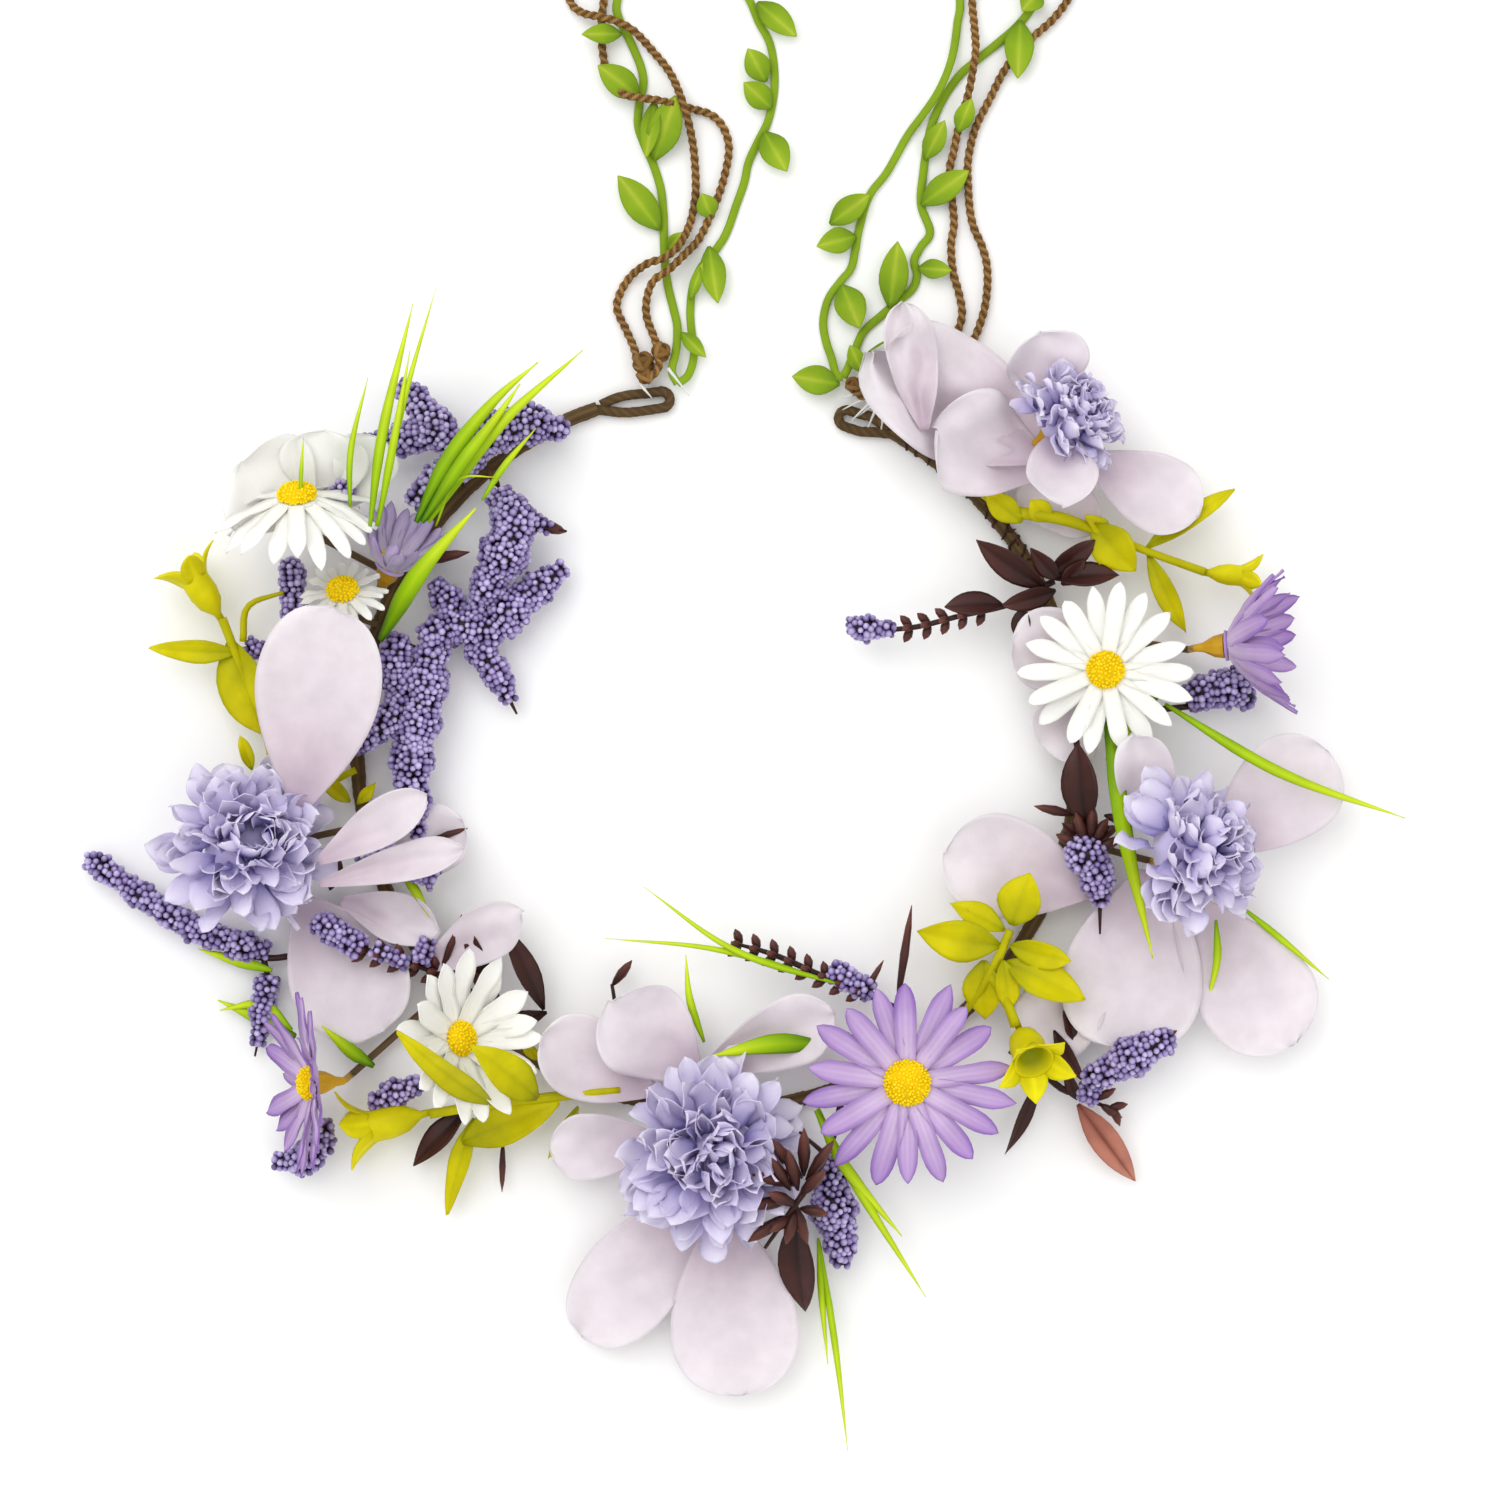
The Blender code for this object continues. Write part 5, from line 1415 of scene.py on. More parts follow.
    def over(
        self,
        name: str,
        surface: bpy.types.Object,
        spacing: float,
        radius: float,
        spread: float,
        painted_light: float,
        seed: int,
        finish: Finish,
    ) -> bpy.types.Object:
        """Covers a surface with beads and takes the surface away.

        Args:
            name: The new piece's name.
            surface: The surface, at the origin.
            spacing: The least distance between beads.
            radius: A bead's radius.
            spread: How far a bead may stand off the surface.
            painted_light: How much lighter a bead is painted at its top than at its sides: painted highlight on
                top, painted shade down the sides.
            seed: The seed of the scatter.
            finish: What the beads are made of.

        Returns:
            The beads as a plain mesh.
        """
        modifier = surface.modifiers.new("beads", "NODES")
        modifier.node_group = self.tree
        values = {
            "Spacing": spacing * MM, "Radius": radius * MM, "Spread": spread * MM,
            "Shading": painted_light, "Seed": seed, "Material": finish.material(),
        }  # fmt: skip
        for item in self.tree.interface.items_tree:
            if item.name in values and item.in_out == "INPUT":
                modifier[item.identifier] = values[item.name]
        bpy.context.view_layer.update()
        graph = bpy.context.evaluated_depsgraph_get()
        mesh = bpy.data.meshes.new_from_object(surface.evaluated_get(graph))
        mesh.name = name
        bpy.data.objects.remove(surface, do_unlink=True)
        piece = bpy.data.objects.new(name, mesh)
        bpy.context.scene.collection.objects.link(piece)
        return piece


# --------------------------------------------------------------------------------------------------
# Sub-assemblies
# --------------------------------------------------------------------------------------------------


@dataclass
class Studio:
    """The camera over the crown, the table top and the soft white light."""

    eye: Spot = (0.0014, 0.0325, 1.0)
    seen_width: float = 0.4125
    sensor: float = 36.0
    sky: float = 0.78
    table_half: float = 4.0
    table_top: float = -0.0004

    def build(self) -> None:
        """Makes the camera, the floor, the lights and the sky."""
        lens = bpy.data.cameras.new("camera")
        lens.sensor_width = self.sensor
        lens.lens = lens.sensor_width * self.eye[2] / self.seen_width
        lens.clip_start = 0.05
        camera = bpy.data.objects.new("camera", lens)
        camera.location = self.eye
        bpy.context.scene.collection.objects.link(camera)
        bpy.context.scene.camera = camera
        self.build_floor()
        self.light("key", (-0.5, 0.7, 1.5), 1.4, 13.5)
        self.light("fill", (0.9, -0.5, 1.3), 1.8, 6.0)
        world = bpy.data.worlds.new("sky")
        world.use_nodes = True
        sky = world.node_tree.nodes["Background"]
        sky.inputs["Color"].default_value = (1.0, 1.0, 1.0, 1.0)
        sky.inputs["Strength"].default_value = self.sky
        bpy.context.scene.world = world
        # The plain transform keeps the table white and the petals' colours as their hex values state them.
        bpy.context.scene.view_settings.view_transform = "Standard"
        LOG.info("studio: camera, floor and two lights")

    def build_floor(self) -> None:
        """A plain pale table top."""
        size = self.table_half
        mesh = bpy.data.meshes.new("floor")
        corners = [(-size, -size, 0), (size, -size, 0), (size, size, 0), (-size, size, 0)]
        mesh.from_pydata(corners, [], [(0, 1, 2, 3)])
        material = bpy.data.materials.new("white_table_top")
        material.use_nodes = True
        shader = material.node_tree.nodes["Principled BSDF"]
        shader.inputs["Base Color"].default_value = linear_colour("FAFAF9")
        shader.inputs["Roughness"].default_value = 0.9
        mesh.materials.append(material)
        floor = bpy.data.objects.new("floor", mesh)
        floor.location.z = self.table_top
        bpy.context.scene.collection.objects.link(floor)

    def light(self, name: str, place: Point, size: float, power: float) -> None:
        """Adds a square soft light that looks at the crown.

        Args:
            name: Its name.
            place: Where it hangs, in metres.
            size: Its side, in metres.
            power: Its power, in watts.
        """
        lamp = bpy.data.lights.new(name, "AREA")
        lamp.size = size
        lamp.energy = power
        item = bpy.data.objects.new(name, lamp)
        item.location = place
        item.rotation_euler = Vector(place).to_track_quat("Z", "Y").to_euler()
        bpy.context.scene.collection.objects.link(item)


@dataclass
class Ties:
    """The eight strands of tie cord, four a side, each wound into its layer of the side's coil."""

    jute_radius: float = 1.25
    ribbon_radius: float = 1.15
    ribbon_half_height: float = 0.5
    layer_pitch: float = 2.9
    first_layer: float = 1.45
    coil_turns: float = 1.9
    coil_entry: float = 21.1
    coil_outer: float = 18.0
    lay_length: float = 4.8
    spacing: float = 0.6
    ribbon_drop: float = 0.9
    binding_angle: float = 95.0
    binding_middle: float = 17.4
    binding_half: float = 5.9
    binding_turns: float = 3.3
    binding_length: float = 5.5
    binding_radius: float = 0.75
    leaf_step: int = 42
    leaf_width: float = 6.5
    leaf_reach: float = 15.0

    def wound(self, centre: Point, angle: float, layer: int, way: int, radius: float) -> list[Spot]:
        """The part of a strand that winds up and into the coil.

        Args:
            centre: The coil's middle.
            angle: Where the strand meets the coil, in degrees.
            layer: Its layer, 0 the lowest.
            way: 1 to wind counter-clockwise, -1 clockwise.
            radius: The strand's radius.

        Returns:
            Points of its centreline.
        """
        top = self.first_layer + layer * self.layer_pitch
        made = []
        for step in range(0, int(self.coil_turns * 360) + 90, 12):
            rise = min(1.0, step / 60)
            inward = min(1.0, max(0.0, (step - 50) / 90))
            turns = max(0.0, step - 140) / 360
            out = self.coil_entry + (self.coil_outer - self.coil_entry) * inward - self.layer_pitch * turns
            at = math.radians(angle + way * step)
            z = radius + 0.1 + (top - radius) * rise if layer else self.first_layer
            made.append((centre[0] + out * math.cos(at), centre[1] + out * math.sin(at), z))
        return made

    def route(self, name: str) -> np.ndarray:
        """A strand's centreline from its fold to its end, eased where it turns on to the coil.

        Args:
            name: The strand.

        Returns:
            Points an even spacing apart.
        """
        side, angle, layer, way, points = STRANDS[name]
        ribbon = name.startswith("leaf")
        radius = self.ribbon_radius if ribbon else self.jute_radius
        drop = self.ribbon_drop if ribbon else 0.0
        led = [(x, y, max(z - drop, self.ribbon_half_height + 0.05)) for x, y, z in points]
        path = smooth_path(led + self.wound(COIL_CENTRES[side], angle, layer, way, radius), 0.8)
        join = int(path_length(smooth_path(led, 0.8)) / 0.8)
        for _ in range(60):
            middle = slice(join - 8, join + 24)
            path[middle] = path[middle] * 0.5 + (path[join - 9 : join + 23] + path[join - 7 : join + 25]) * 0.25
        return smooth_path(path, self.spacing)

    def twine_radius(self, run: np.ndarray, angle: np.ndarray) -> np.ndarray:
        """How far two twisted plies stand from the middle of the twine.

        Args:
            run: Distances along the twine.
            angle: Angles round it.

        Returns:
            The radius at each.
        """
        apart, ply = 0.36 * self.jute_radius, 0.64 * self.jute_radius
        turn = angle - 2 * math.pi * run / self.lay_length
        return apart * np.abs(np.cos(turn)) + np.sqrt(ply**2 - (apart * np.sin(turn)) ** 2)

    def build(self) -> None:
        for name, (side, *_rest) in STRANDS.items():
            path = self.route(name)
            kind = name.split("_")[0]
            parts = MeshParts()
            if kind == "jute":
                points, faces = sweep(path, self.twine_radius, sides=12)
                # Painted light on the twine: tone by distance from its middle, painted shade in the grooves
                # between the plies and painted highlight on their crests.
                out = np.linalg.norm(points - np.repeat(path[:, :3], 12, axis=0), axis=1) / self.jute_radius
                parts.add(points, faces, np.interp(out, (0.55, 1.0), (0.0, 0.8)))
                strand = parts.build(name, JUTE)
                extras = self.build_knots(name, path)
            else:
                ends = np.clip(np.arange(len(path))[::-1] / 12, 0.3, 1.0)
                points, faces = sweep(path, self.ribbon_radius * ends, self.ribbon_half_height * ends, sides=8)
                parts.add(points, faces, np.array(0.45))
                strand = parts.build(name, LEAF_CLOTH)
                extras = self.build_leaves(name, path)
            slot = "jute" if kind == "jute" else "leaf_ribbon"
            settle(strand, slot, f"{kind}_tie_{side}", f"tie_coil_{side}")
            if name.endswith("_b") and kind == "jute":
                extras.append(self.build_binding(side))

    def build_binding(self, side: str) -> bpy.types.Object:
        """The short tie of jute that holds a side's coil.

        Args:
            side: The side.

        Returns:
            The tie.
        """
        centre = COIL_CENTRES[side]
        at = math.radians(self.binding_angle)
        out, across = (math.cos(at), math.sin(at)), (-math.sin(at), math.cos(at))
        turns = np.linspace(0, 2 * math.pi * self.binding_turns, 90)
        reach = self.binding_middle + self.binding_half * np.cos(turns)
        slide = (turns / turns[-1] - 0.5) * self.binding_length
        loop = np.stack(
            [
                centre[0] + out[0] * reach + across[0] * slide,
                centre[1] + out[1] * reach + across[1] * slide,
                self.binding_half + 0.8 + self.binding_half * np.sin(turns),
            ],
            axis=1,
        )
        parts = MeshParts()
        points, faces = sweep(loop, self.binding_radius, sides=8)
        parts.add(points, faces, np.array(0.45))
        return settle(parts.build(f"coil_binding_{side}", JUTE), "stored_ties")

    def build_leaves(self, name: str, path: np.ndarray) -> list[bpy.types.Object]:
        """A ribbon's leaves: those along its way, and more along its coil.

        Args:
            name: The ribbon.
            path: Its centreline.

        Returns:
            The leaves as one piece.
        """
        parts = MeshParts()
        for base, tip, width in RIBBON_LEAVES[name]:
            add_leaf(parts, base, tip, width, bow=8.0, rib_tone=0.25)
        side = STRANDS[name][0]
        centre = COIL_CENTRES[side]
        start = int(len(path) * 0.52)
        for i, at in enumerate(range(start, len(path) - 10, self.leaf_step)):
            spot = path[at]
            out = Vector((spot[0] - centre[0], spot[1] - centre[1], 0.0)).normalized()
            along = Vector(path[at + 4] - path[at]).normalized()
            reach = (along * 0.8 + out * (0.75 if i % 2 else -0.1)) * self.leaf_reach
            tip = Vector(spot) + reach + Vector((0.0, 0.0, 1.5))
            add_leaf(parts, tuple(spot), tuple(tip), self.leaf_width, bow=12.0, rib_tone=0.25)
        leaves = parts.build(f"{name}_leaves", LEAF_CLOTH)
        return [settle(leaves, "leaf_ribbon")]

    def build_knots(self, name: str, path: np.ndarray) -> list[bpy.types.Object]:
        """The knots that hold a jute strand at its eyelet.

        Args:
            name: The strand.
            path: Its centreline.

        Returns:
            The knots as one piece, or nothing.
        """
        if name not in KNOTS:
            return []
        parts = MeshParts()
        for place, heading, radius in KNOTS[name]:
            cord = 0.3 * radius
            for i, (yaw, rise) in enumerate(((0, 20), (55, -15), (110, 30), (165, -30))):
                stand = placed(place, heading + yaw, rise)
                turns = np.linspace(0, 2 * math.pi * 1.02, 28)
                reach = radius - cord + 0.1 * i
                loop = np.stack([0.4 * np.sin(2 * turns), reach * np.cos(turns), reach * np.sin(turns)], axis=1)
                points, faces = sweep(moved(loop, stand), cord, sides=8)
                parts.add(points, faces, np.array(0.35 + 0.08 * i))
            ball = [(-0.8, 0.2), (-0.6, 0.6), (0, 0.8), (0.6, 0.6), (0.8, 0.2)]
            points, faces = revolved([(x * radius, r * radius) for x, r in ball], 10)
            parts.add(moved(points, placed(place, heading)), faces, np.array(0.15))
        return [settle(parts.build(f"{name}_knots", JUTE), "jute")]


@dataclass
class Ring:
    """The wire ring: its wrap of crepe tape, its eyelets and the glue left at its ends."""

    centre: tuple[float, float] = (-7.4, 33.0)
    radius: float = 99.0
    start: float = 109.5
    end: float = 421.3
    height: float = 1.8
    tape_radius: float = 1.95
    tape_width: float = 9.0
    eyelets: tuple[float, float] = (20.0, 15.0)
    half_gap: float = 2.3
    splay: float = 12.0
    windings: tuple[tuple[float, float, int], ...] = ((419.0, 404.0, 7), (402.0, 391.0, 5))
    winding_steps: int = 14
    winding_radius: float = 0.32

    def point(self, degrees: float) -> Spot:
        """The ring's centreline at an angle."""
        at = math.radians(degrees)
        return (
            self.centre[0] + self.radius * math.cos(at),
            self.centre[1] + self.radius * math.sin(at),
            self.height,
        )

    def eyelet(self, degrees: float, way: float, length: float) -> list[Spot]:
        """The wire's loop beyond one end of the ring.

        Args:
            degrees: Where the ring ends.
            way: 1 at the end that is reached counter-clockwise, -1 at the other.
            length: The loop's length.

        Returns:
            Points of its centreline.
        """
        at = math.radians(degrees)
        splay = Matrix.Rotation(math.radians(self.splay) * way, 3, "Z")
        outward = splay @ Vector((math.cos(at), math.sin(at), 0.0))
        along = splay @ Vector((-way * math.sin(at), way * math.cos(at), 0.0))
        foot = Vector(self.point(degrees))
        tip = length - self.half_gap
        steps = [(-2.0, 0.0), (3.0, -self.half_gap * 0.5), (8.0, -self.half_gap), (tip * 0.75, -self.half_gap)]
        for i in range(7):
            bend = math.pi * i / 6 - math.pi / 2
            steps.append((tip + self.half_gap * math.cos(bend), self.half_gap * math.sin(bend)))
        steps += [(tip * 0.75, self.half_gap), (6.5, self.half_gap), (1.0, self.half_gap * 0.3)]
        return [tuple(foot + along * a + outward * b) for a, b in steps]

    def wrap_radius(self, run: np.ndarray, angle: np.ndarray) -> np.ndarray:
        """The tape's radius: each turn laps the one before, with small creases.

        Args:
            run: Distances along the ring.
            angle: Angles round it.

        Returns:
            The radius at each.
        """
        lap = (run / self.tape_width + angle / (2 * math.pi)) % 1.0
        crease = 0.03 * np.sin(run * 3.1 + 3 * angle) + 0.02 * np.sin(run * 7.3 - 2 * angle)
        return self.tape_radius * (0.95 + 0.12 * lap + crease)

    def build(self) -> None:
        """Makes the wrap and the glue, and dresses the wire."""
        parts = MeshParts()
        count = 110
        around = [self.point(self.start + (self.end - self.start) * i / count) for i in range(count + 1)]
        points, faces = sweep(smooth_path(around, 0.9), self.wrap_radius, sides=12)
        parts.add(points, faces, np.resize((0.35, 0.6, 0.45, 0.7), len(points)))
        for degrees, way, length in ((self.start, -1.0, self.eyelets[0]), (self.end, 1.0, self.eyelets[1])):
            loop = smooth_path(self.eyelet(degrees, way, length), 0.9)
            points, faces = sweep(loop, lambda run, angle: 0.7 * self.wrap_radius(run, angle), sides=10)
            parts.add(points, faces, np.resize((0.35, 0.6, 0.45), len(points)))
        settle(parts.build("ring_wrap", TAPE), "florist_tape", "ring_tape")
        self.build_windings(np.random.default_rng(5))
        glue = MeshParts()
        for base, tip in GLUE_STRANDS:
            add_tube(glue, ((*base, 0.55), (*tip, 0.12)), spacing=1.5, sides=6, tone=0.7)
        settle(glue.build("glue_strands", HOT_GLUE), "florist_tape")
        dress("ring_wire", GALVANISED)

    def build_windings(self, rng: np.random.Generator) -> None:
        """Makes the thin dark wire that binds the stems to the wrapped ring, with its cut ends.

        Args:
            rng: The chance of the windings.
        """
        parts = MeshParts()
        for first, last, turns in self.windings:
            steps = turns * self.winding_steps
            loop = []
            for i in range(steps + 1):
                degrees = first + (last - first) * i / steps + 0.25 * math.sin(i * 0.7)
                at, turn = math.radians(degrees), 2 * math.pi * i / self.winding_steps
                reach = self.tape_radius * 1.12
                out = self.radius + reach * math.cos(turn)
                loop.append(
                    (
                        self.centre[0] + out * math.cos(at),
                        self.centre[1] + out * math.sin(at),
                        self.height + 0.15 + reach * math.sin(turn),
                    )
                )
            points, faces = sweep(np.array(loop), self.winding_radius, sides=6)
            parts.add(points, faces, np.array(0.3))
            for degrees in np.linspace(first, last, turns):
                foot = Vector(self.point(degrees + rng.uniform(-0.5, 0.5))) + Vector((0, 0, 1.9))
                way = Matrix.Rotation(rng.uniform(0, 2 * math.pi), 3, "Z") @ Vector((2.6, 0, 0.4))
                add_pod(parts, tuple(foot), tuple(foot + way), 0.9)
        settle(parts.build("binding_wire", BURGUNDY_PLASTIC), "florist_tape")


def dress(node: str, finish: Finish) -> None:
    """Gives a CAD node that stays its own finish.

    Args:
        node: The node.
        finish: What it is made of.
    """
    materials = frame["nodes"][node].data.materials
    materials.clear()
    materials.append(finish.material())


def dress_calyx(flower: str) -> None:
    """Gives a flower's calyx its ochre plastic, with brown tape round the low run of its stem.

    Args:
        flower: The flower's name.
    """
    dress(f"{flower}_calyx", CALYX_PLASTIC)
    material = CALYX_PLASTIC.material()
    tree = material.node_tree
    if "taped" in tree.nodes:
        return
    base = tree.nodes["Principled BSDF"].inputs["Base Color"]
    plain = base.links[0].from_socket
    spot = add_node(
        tree, "ShaderNodeSeparateXYZ", None, {0: tree.nodes["Texture Coordinate"].outputs["Object"]}
    )
    share = add_node(
        tree, "ShaderNodeMapRange", None, {"Value": spot.outputs["Z"], "From Min": 0.009, "From Max": 0.011}
    )
    taped = add_node(
        tree,
        "ShaderNodeMix",
        {"data_type": "RGBA", "name": "taped"},
        {0: share.outputs["Result"], 6: linear_colour("604A2C"), 7: plain},
    )
    tree.links.new(taped.outputs[2], base)


@dataclass
class Daisy:
    """A daisy: two layers of pressed petals that turn together, and a granular button."""

    name: str
    place: Point
    axis: Point
    reach: float
    cup: float
    button: float
    pointed: bool
    lean: float = 0.0
    unruly: float = 4.0
    breadth: float = 1.0
    petals: int = 9
    button_floor: float = 1.3
    button_height: float = 3.2
    grain_spacing: float = 0.7
    grain_radius: float = 0.45
    grain_spread: float = 0.1
    # Painted highlight on each grain's top and painted shade down its sides.
    grain_painted_light: float = 0.12

    def build_petals(self, rng: np.random.Generator) -> None:
        """Makes the whorl, which rides on the daisy's own body.

        Args:
            rng: The chance of this daisy.
        """
        stand = facing(self.place, self.axis)
        parts = MeshParts()
        start = self.button * 0.55
        for layer in range(2):
            for i in range(self.petals):
                heading = 360.0 * (i + 0.5 * layer) / self.petals + rng.uniform(-4, 4)
                cup = self.cup + self.lean * math.cos(math.radians(heading))
                grow = (self.reach - start) * rng.uniform(0.88, 1.04) * (1.0 - 0.04 * layer)
                petal = Petal(
                    length=grow,
                    width=self.reach * self.breadth * rng.uniform(0.19, 0.225),
                    base=0.75,
                    widest=0.7,
                    tip=rng.uniform(0.5, 0.95),
                    cup=0.08,
                    start=cup * 0.55 + 3.0 * layer + rng.uniform(-self.unruly, self.unruly),
                    bend=cup * 0.8 + rng.uniform(-13, 11),
                    ridges=4,
                    # Painted shade in the valleys between the pressed ridges.
                    ridge_depth=0.24,
                    painted_groove_shade=0.06,
                    ruffle=0.35,
                    offset=start,
                    thickness=0.25,
                    rows=10,
                    cols=8,
                    tones=(0.9, 0.68, rng.uniform(0.2, 0.5)) if self.pointed else (0.6, 0.7, 0.9),
                    edge_tone=-0.4 if self.pointed else -0.3,
                )
                turn = Matrix.Rotation(math.radians(heading), 4, "Z") @ Matrix.Rotation(
                    math.radians(rng.uniform(-7, 7)), 4, "X"
                )
                petal.onto(parts, stand @ Matrix.Translation((0, 0, 0.35 + 0.5 * layer)) @ turn)
        points, faces = revolved(
            [(0.0, 1.6), (0.0, self.button + 0.4), (0.7, self.button + 0.2), (0.7, 1.6)], 20
        )
        hub = ring_shell(points, 20)
        upright = Matrix.Rotation(-math.pi / 2, 4, "Y")
        parts.add(moved(hub[0], stand @ upright), hub[1], np.array(0.3))
        lilac = PALE_LILAC_CLOTH if self.name.endswith("upper_left") else LILAC_CLOTH
        finish = lilac if self.pointed else WHITE_CLOTH
        slot = "lilac_petal" if self.pointed else "white_petal"
        piece = parts.build(f"{self.name}_whorl", finish)
        settle(piece, slot, f"{self.name}_petals", body=self.name)

    def build_button(self, beads: BeadScatter, seed: int) -> None:
        """Covers the button with fine granules and dresses it and the calyx.

        Args:
            beads: The tree that scatters them.
            seed: The seed of the scatter.
        """
        stand = facing(self.place, self.axis) @ Matrix.Translation((0, 0, self.button_floor))
        rise = [(0.0, 0.96), (0.2, 1.0), (0.6, 0.85), (0.92, 0.5), (1.0, 0.05)]
        points, faces = revolved([(self.button_height * z, self.button * r) for z, r in rise], 20)
        dome = MeshParts()
        dome.add(moved(points, stand @ Matrix.Rotation(-math.pi / 2, 4, "Y")), faces, np.array(0.5))
        size = self.grain_spacing, self.grain_radius, self.grain_spread, self.grain_painted_light
        grains = beads.over(f"{self.name}_grains", dome.build("dome", YELLOW_FLOCK), *size, seed, YELLOW_FLOCK)
        settle(grains, "button")
        dress(f"{self.name}_button", YELLOW_CORE)
        dress_calyx(self.name)


def ring_shell(points: np.ndarray, sides: int) -> tuple[np.ndarray, Faces]:
    """A washer from rows of corners that end where they begin.

    Args:
        points: The corners, ring by ring.
        sides: How many corners a ring has.

    Returns:
        The corners and the faces.
    """
    rows = len(points) // sides
    faces = []
    for r in range(rows):
        for s in range(sides):
            t, u = (s + 1) % sides, (r + 1) % rows
            faces.append((r * sides + s, r * sides + t, u * sides + t, u * sides + s))
    return points, faces


@dataclass
class Pompon:
    """A pompon: a dome of many narrow folded petals over a calyx."""

    name: str
    place: Point
    tilt: float
    heading: float
    radius: float
    petals: int = 104
    bud: bool = False

    def build(self, rng: np.random.Generator) -> None:
        """Makes the head and dresses its calyx.

        Args:
            rng: The chance of this head.
        """
        axis = Matrix.Rotation(math.radians(self.heading), 3, "Z") @ Matrix.Rotation(
            math.radians(self.tilt), 3, "Y"
        ) @ Vector((0, 0, 1))
        stand = facing(self.place, axis)
        parts = MeshParts()
        for i in range(self.petals):
            share = (i + 0.5) / self.petals
            if self.bud and share < 0.07:
                continue
            rise = 70.0 * (1 - share) ** 0.85 - 6.0 + rng.uniform(-22, 18)
            reach = self.radius * (0.34 + 0.24 * share) * rng.uniform(0.82, 1.08)
            foot = self.radius * (0.04 + 0.46 * share**0.62)
            height = self.radius * (0.08 + 0.5 * (1 - share) ** 0.8)
            petal = Petal(
                length=reach,
                width=self.radius * (0.22 + 0.07 * share) * rng.uniform(0.8, 1.5),
                base=0.5,
                widest=rng.uniform(0.45, 0.7),
                tip=rng.uniform(0.45, 0.95),
                cup=(0.3 - 0.14 * share) * rng.uniform(0.4, 1.4),
                start=rng.uniform(-16, 4),
                bend=28.0 - 10.0 * share + rng.uniform(-34, 34),
                ruffle=0.9,
                waves=1.5,
                phase=rng.uniform(0, 6),
                thickness=0.14,
                rows=8,
                cols=6,
                # Each petal is deepest at its foot: painted shade down among the crowded petals of the dome.
                tones=(0.1, 0.46 + 0.14 * share, 0.74 + 0.16 * share + rng.uniform(-0.12, 0.1)),
                edge_tone=-0.2,
            )
            heading = math.degrees(GOLDEN_ANGLE * i) + rng.uniform(-30, 30)
            turn = Matrix.Rotation(math.radians(heading), 4, "Z")
            at = turn @ placed((foot, 0, height), rng.uniform(-20, 20), rise, rng.uniform(-55, 55))
            petal.onto(parts, stand @ at)
        if self.bud:
            self.add_bud(parts, stand, rng)
        heart = revolved(
            [
                (0.0, 0.4 * self.radius),
                (0.25 * self.radius, 0.42 * self.radius),
                (0.48 * self.radius, 0.26 * self.radius),
                (0.56 * self.radius, 0.05),
            ],
            12,
        )
        parts.add(moved(heart[0], stand @ Matrix.Rotation(-math.pi / 2, 4, "Y")), heart[1], np.array(0.4))
        settle(parts.build(f"{self.name}_petals", PERIWINKLE_CLOTH), "pompon_petal", f"{self.name}_head")
        dress_calyx(self.name)

    def add_bud(self, parts: MeshParts, stand: Matrix, rng: np.random.Generator) -> None:
        """Adds the curled petals round the hollow middle of an opening head.

        Args:
            parts: The head's mesh.
            stand: Where the head stands.
            rng: The chance of this head.
        """
        for i in range(6):
            # The curled petals are deepest at their feet: painted shade in the bud's hollow.
            petal = Petal(
                length=self.radius * 0.42, width=self.radius * 0.36, base=0.7, widest=0.5, tip=0.7, cup=0.3,
                start=0.0, bend=22.0 + rng.uniform(-6, 6), thickness=0.14, rows=8, cols=8,
                tones=(-0.6, 0.0, 0.7), edge_tone=0.0, ruffle=0.4, phase=i,
            )  # fmt: skip
            turn = Matrix.Rotation(math.radians(60.0 * i + rng.uniform(-8, 8)), 4, "Z")
            petal.onto(parts, stand @ turn @ placed((self.radius * 0.2, 0, self.radius * 0.5), 0.0, 78.0, 8.0))


@dataclass
class SilkBlossom:
    """Loose petals cut from one sheet of sheer silk, threaded under a flower."""

    name: str
    finish: Finish
    thickness: float = 0.22
    cut_length: float = 1.25
    cut_width: float = 1.4

    def build(self) -> None:
        parts = MeshParts()
        area = 0.0
        reach = [0.0, 0.0]
        for i, (base, tip, width, curl, ruffle, cup) in enumerate(SILK_PETALS[self.name]):
            matrix, length = aimed(base, tip)
            petal = Petal(
                length=length, width=width, base=0.16, widest=0.62 + 0.05 * (i % 3), tip=0.36 + 0.09 * (i % 3),
                cup=cup, start=-curl, bend=2.0 * curl, ruffle=ruffle, waves=1.4, phase=1.7 * i,
                thickness=self.thickness, rows=26, cols=18, tones=(0.0, 0.5, 0.8), fold=0.1 + 0.32 * ruffle,
                edge_tone=0.12,
            )  # fmt: skip
            petal.onto(parts, matrix)
            area += petal.area()
            reach = sorted((*reach, length))[-2:]
        piece = parts.build(f"{self.name}_silk", self.finish)
        settle(piece, "silk", f"silk_blossom_{self.name}")


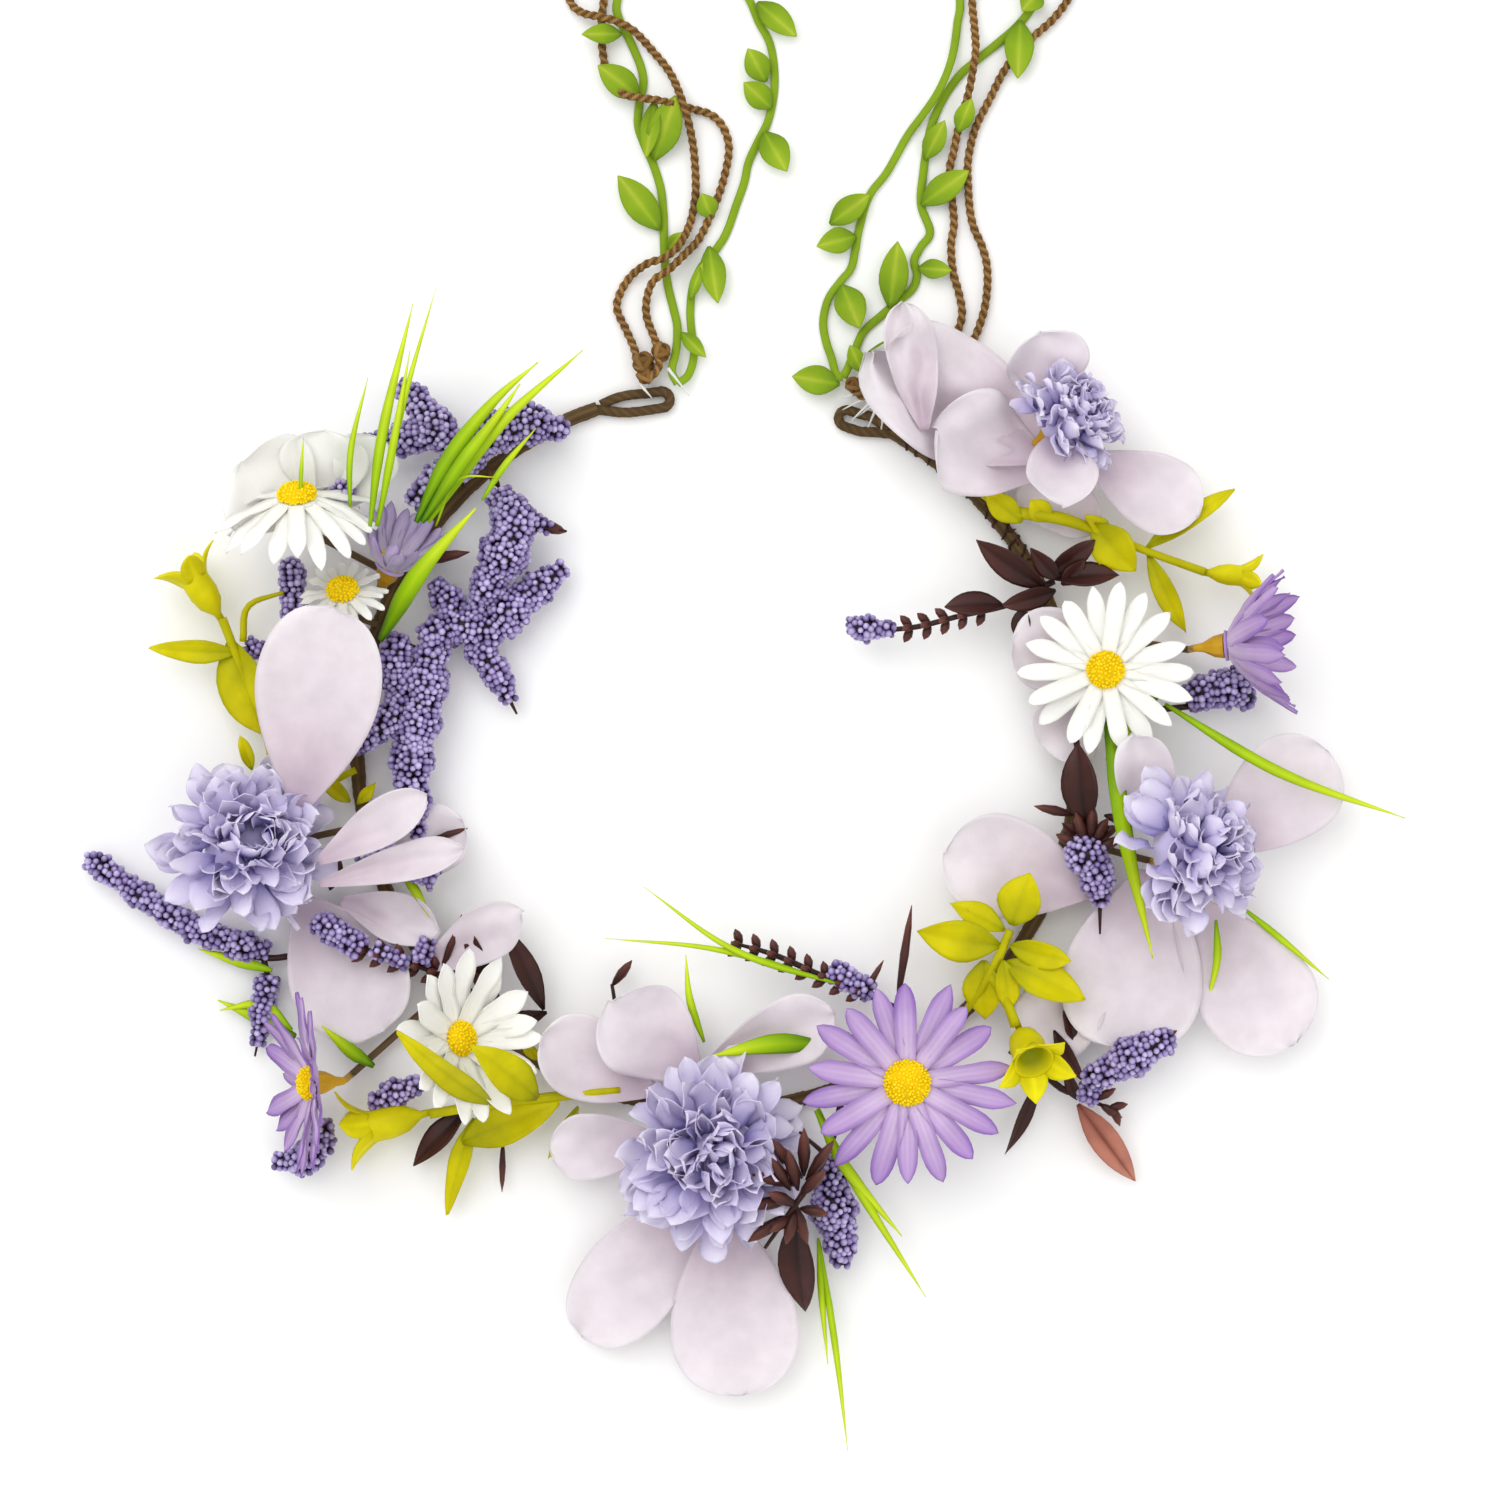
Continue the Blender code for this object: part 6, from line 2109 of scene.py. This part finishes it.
@dataclass
class BeadSpray:
    """A burgundy plastic pick with lobes of small violet foam beads, twigs and leaves."""

    name: str
    bead_radius: float = 1.05
    bead_spacing: float = 1.3
    bead_spread: float = 0.7
    # Painted highlight on each bead's top and painted shade down its sides.
    bead_painted_light: float = 0.42
    core_share: float = 0.78
    pod_width: float = 3.9

    def build(self, beads: BeadScatter, seed: int) -> None:
        """Makes the twigs and leaves, and the beads over their lobes, whose dark core is partly the real twig
        and partly painted shade in the gaps between beads.

        Args:
            beads: The tree that scatters them.
            seed: The seed of the scatter.
        """
        node = f"bead_spray_{self.name}"
        twigs = MeshParts()
        lobes = MeshParts()
        for i, run in enumerate(BEAD_LOBES[self.name]):
            path = smooth_path(run, 1.6)
            along = np.arange(len(path))
            bumps = 1.0 + 0.16 * np.sin(along * 0.9 + i) + 0.1 * np.sin(along * 2.3 + 2 * i)
            radius = np.maximum(path[:, 3] * self.core_share * bumps, 0.5)
            points, faces = sweep(path, radius, sides=12)
            lobes.add(points, faces, np.array(0.0))
            # The core under the beads takes the deepest burgundy: partly the real twig, partly painted shade in
            # the gaps between the beads.
            points, faces = sweep(path, radius * 0.93, sides=9)
            twigs.add(points, faces, np.array(0.0))
        for i, run in enumerate(TWIGS[self.name]):
            add_tube(twigs, run, tone=0.25)
            number, start, length = TWIG_STUBS.get(self.name, (None, 0.0, 0.0))
            if i == number:
                self.add_stubs(twigs, smooth_path(run, 1.0), start, length)
        for i, (base, tip, width) in enumerate(BURGUNDY_LEAVES.get(self.name, ())):
            if width < self.pod_width:
                add_pod(twigs, base, tip, width)
            else:
                add_leaf(twigs, base, tip, width, bow=14.0, roll=25.0 if i % 2 else -25.0, rib_tone=-0.3)
        settle(twigs.build(f"{node}_twigs", BURGUNDY_PLASTIC), "beads", node)
        cover = lobes.build("lobes", VIOLET_FOAM)
        size = self.bead_spacing, self.bead_radius, self.bead_spread, self.bead_painted_light
        settle(beads.over(f"{node}_beads", cover, *size, seed, VIOLET_FOAM), "beads", node)

    def add_stubs(self, parts: MeshParts, path: np.ndarray, start: float, length: float) -> None:
        """Adds seed pods in threes along a twig.

        Args:
            parts: The mesh they join.
            path: The twig's centreline.
            start: The share of the twig where they start.
            length: A pod's length.
        """
        along, across, up = path_frames(path)
        for at in range(int(len(path) * start), len(path) - 2, 5):
            for side in (-1, 0, 1):
                lean = across[at] * side * 0.95 + up[at] * (0.9 if side == 0 else 0.15) + along[at] * 0.7
                tip = path[at, :3] + lean * length * 0.85
                add_pod(parts, tuple(path[at, :3]), tuple(tip), 2.6)


@dataclass
class BellPick:
    """A lime plastic pick: a stem, almond leaves and one flared bell flower."""

    name: str
    lobes: int = 5

    def build(self) -> None:
        """Makes the pick as one moulded piece."""
        node = f"bell_pick_{self.name}"
        parts = MeshParts()
        for run in LIME_STEMS[self.name]:
            add_tube(parts, run, tone=0.35)
        for i, (base, tip, width) in enumerate(LIME_LEAVES[self.name]):
            add_leaf(parts, base, tip, width, bow=15.0, roll=18.0 if i % 2 else -14.0, rib_tone=-0.12, wave=0.7)
        foot, mouth, radius = BELLS[self.name]
        matrix, length = aimed(foot, mouth)
        profile = [
            (0.0, 0.9), (0.12, 1.1), (0.3, 0.55 * radius), (0.5, 0.68 * radius), (0.72, 0.66 * radius),
            (0.9, 0.8 * radius), (0.89, 0.7 * radius), (0.7, 0.45 * radius), (0.6, 0.1),
        ]  # fmt: skip
        points, faces = revolved([(x * length, r) for x, r in profile], 15)
        # Inside the bell the tone falls from its lip to 0 at the bottom: painted shade in its throat.
        tones = np.repeat([0.3, 0.4, 0.5, 0.6, 0.65, 0.8, 0.5, 0.1, 0.0], 15)
        parts.add(moved(points, matrix), faces, tones)
        for i in range(self.lobes):
            petal = Petal(
                length=length * 0.3 + radius * 0.7, width=radius * 1.1, base=0.75, widest=0.35, tip=1.1,
                cup=-0.12, start=20.0, bend=44.0, thickness=0.4, rows=8, cols=6, tones=(0.55, 0.75, 0.95),
                rib=0.2,
            )  # fmt: skip
            roll = Matrix.Rotation(2 * math.pi * (i + 0.25) / self.lobes, 4, "X")
            petal.onto(parts, matrix @ roll @ Matrix.Translation((0.72 * length, 0, 0.62 * radius)))
        settle(parts.build(node + "_greens", LIME_PLASTIC), "lime_plastic", node)


@dataclass
class GrassTuft:
    """A tuft of narrow plastic blades, dark at the root and bright at the tip."""

    name: str

    def build(self) -> None:
        """Makes the blades as one piece."""
        node = f"grass_tuft_{self.name}"
        parts = MeshParts()
        for points, width in GRASS_BLADES[self.name]:
            path = smooth_path(points, 2.5)
            t = np.linspace(0, 1, len(path))
            half = width / 2 * np.minimum(0.35 + t * 2.2, 1.0) * np.clip((1 - t) * 1.9, 0.06, 1.0) ** 0.8
            shell, faces = sweep(path, half, 0.18 + 0.2 * half, sides=8)
            crease = np.tile((0.0, 0.0, 0.18, 0.0, 0.0, 0.0, 0.18, 0.0), len(path))
            root = 0.0 if width > 3.5 else 0.3
            parts.add(shell, faces, root + np.repeat(t, 8) * (0.9 - root) + crease)
        settle(parts.build(f"{node}_blades", GRASS_PLASTIC), "grass_plastic", node)


def main() -> None:
    """Builds every sub-assembly in order."""
    Studio().build()
    Ties().build()
    Ring().build()
    beads = BeadScatter()
    joints = {joint["name"]: joint for joint in frame["joints"]}
    for seed, (name, (reach, cup, button, *bearing)) in enumerate(DAISIES.items()):
        joint = joints[f"{name}_turn"]
        place = [value / MM for value in joint["pos_m"]]
        daisy = Daisy(name, place, joint["axis"], reach, cup, button, name.startswith("lilac"), *bearing)
        daisy.build_petals(np.random.default_rng(20 + seed))
        daisy.build_button(beads, seed)
    for seed, (name, (place, tilt, heading, radius)) in enumerate(POMPONS.items()):
        pompon = Pompon(name, place, tilt, heading, radius, bud=name == "pompon_left")
        pompon.build(np.random.default_rng(60 + seed))
    for name in SILK_PETALS:
        SilkBlossom(name, WHITE_ORGANZA if name == "upper_left" else ORGANZA).build()
    for seed, name in enumerate(BEAD_LOBES):
        BeadSpray(name).build(beads, 100 + seed)
    coral = MeshParts()
    add_leaf(coral, *CORAL_LEAF, bow=14.0, rib_tone=-0.5)
    settle(coral.build("coral_leaf", CORAL_PLASTIC), "beads")
    for name in BELLS:
        BellPick(name).build()
    for name in GRASS_BLADES:
        GrassTuft(name).build()
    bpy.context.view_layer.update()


if __name__ == "__main__":
    main()
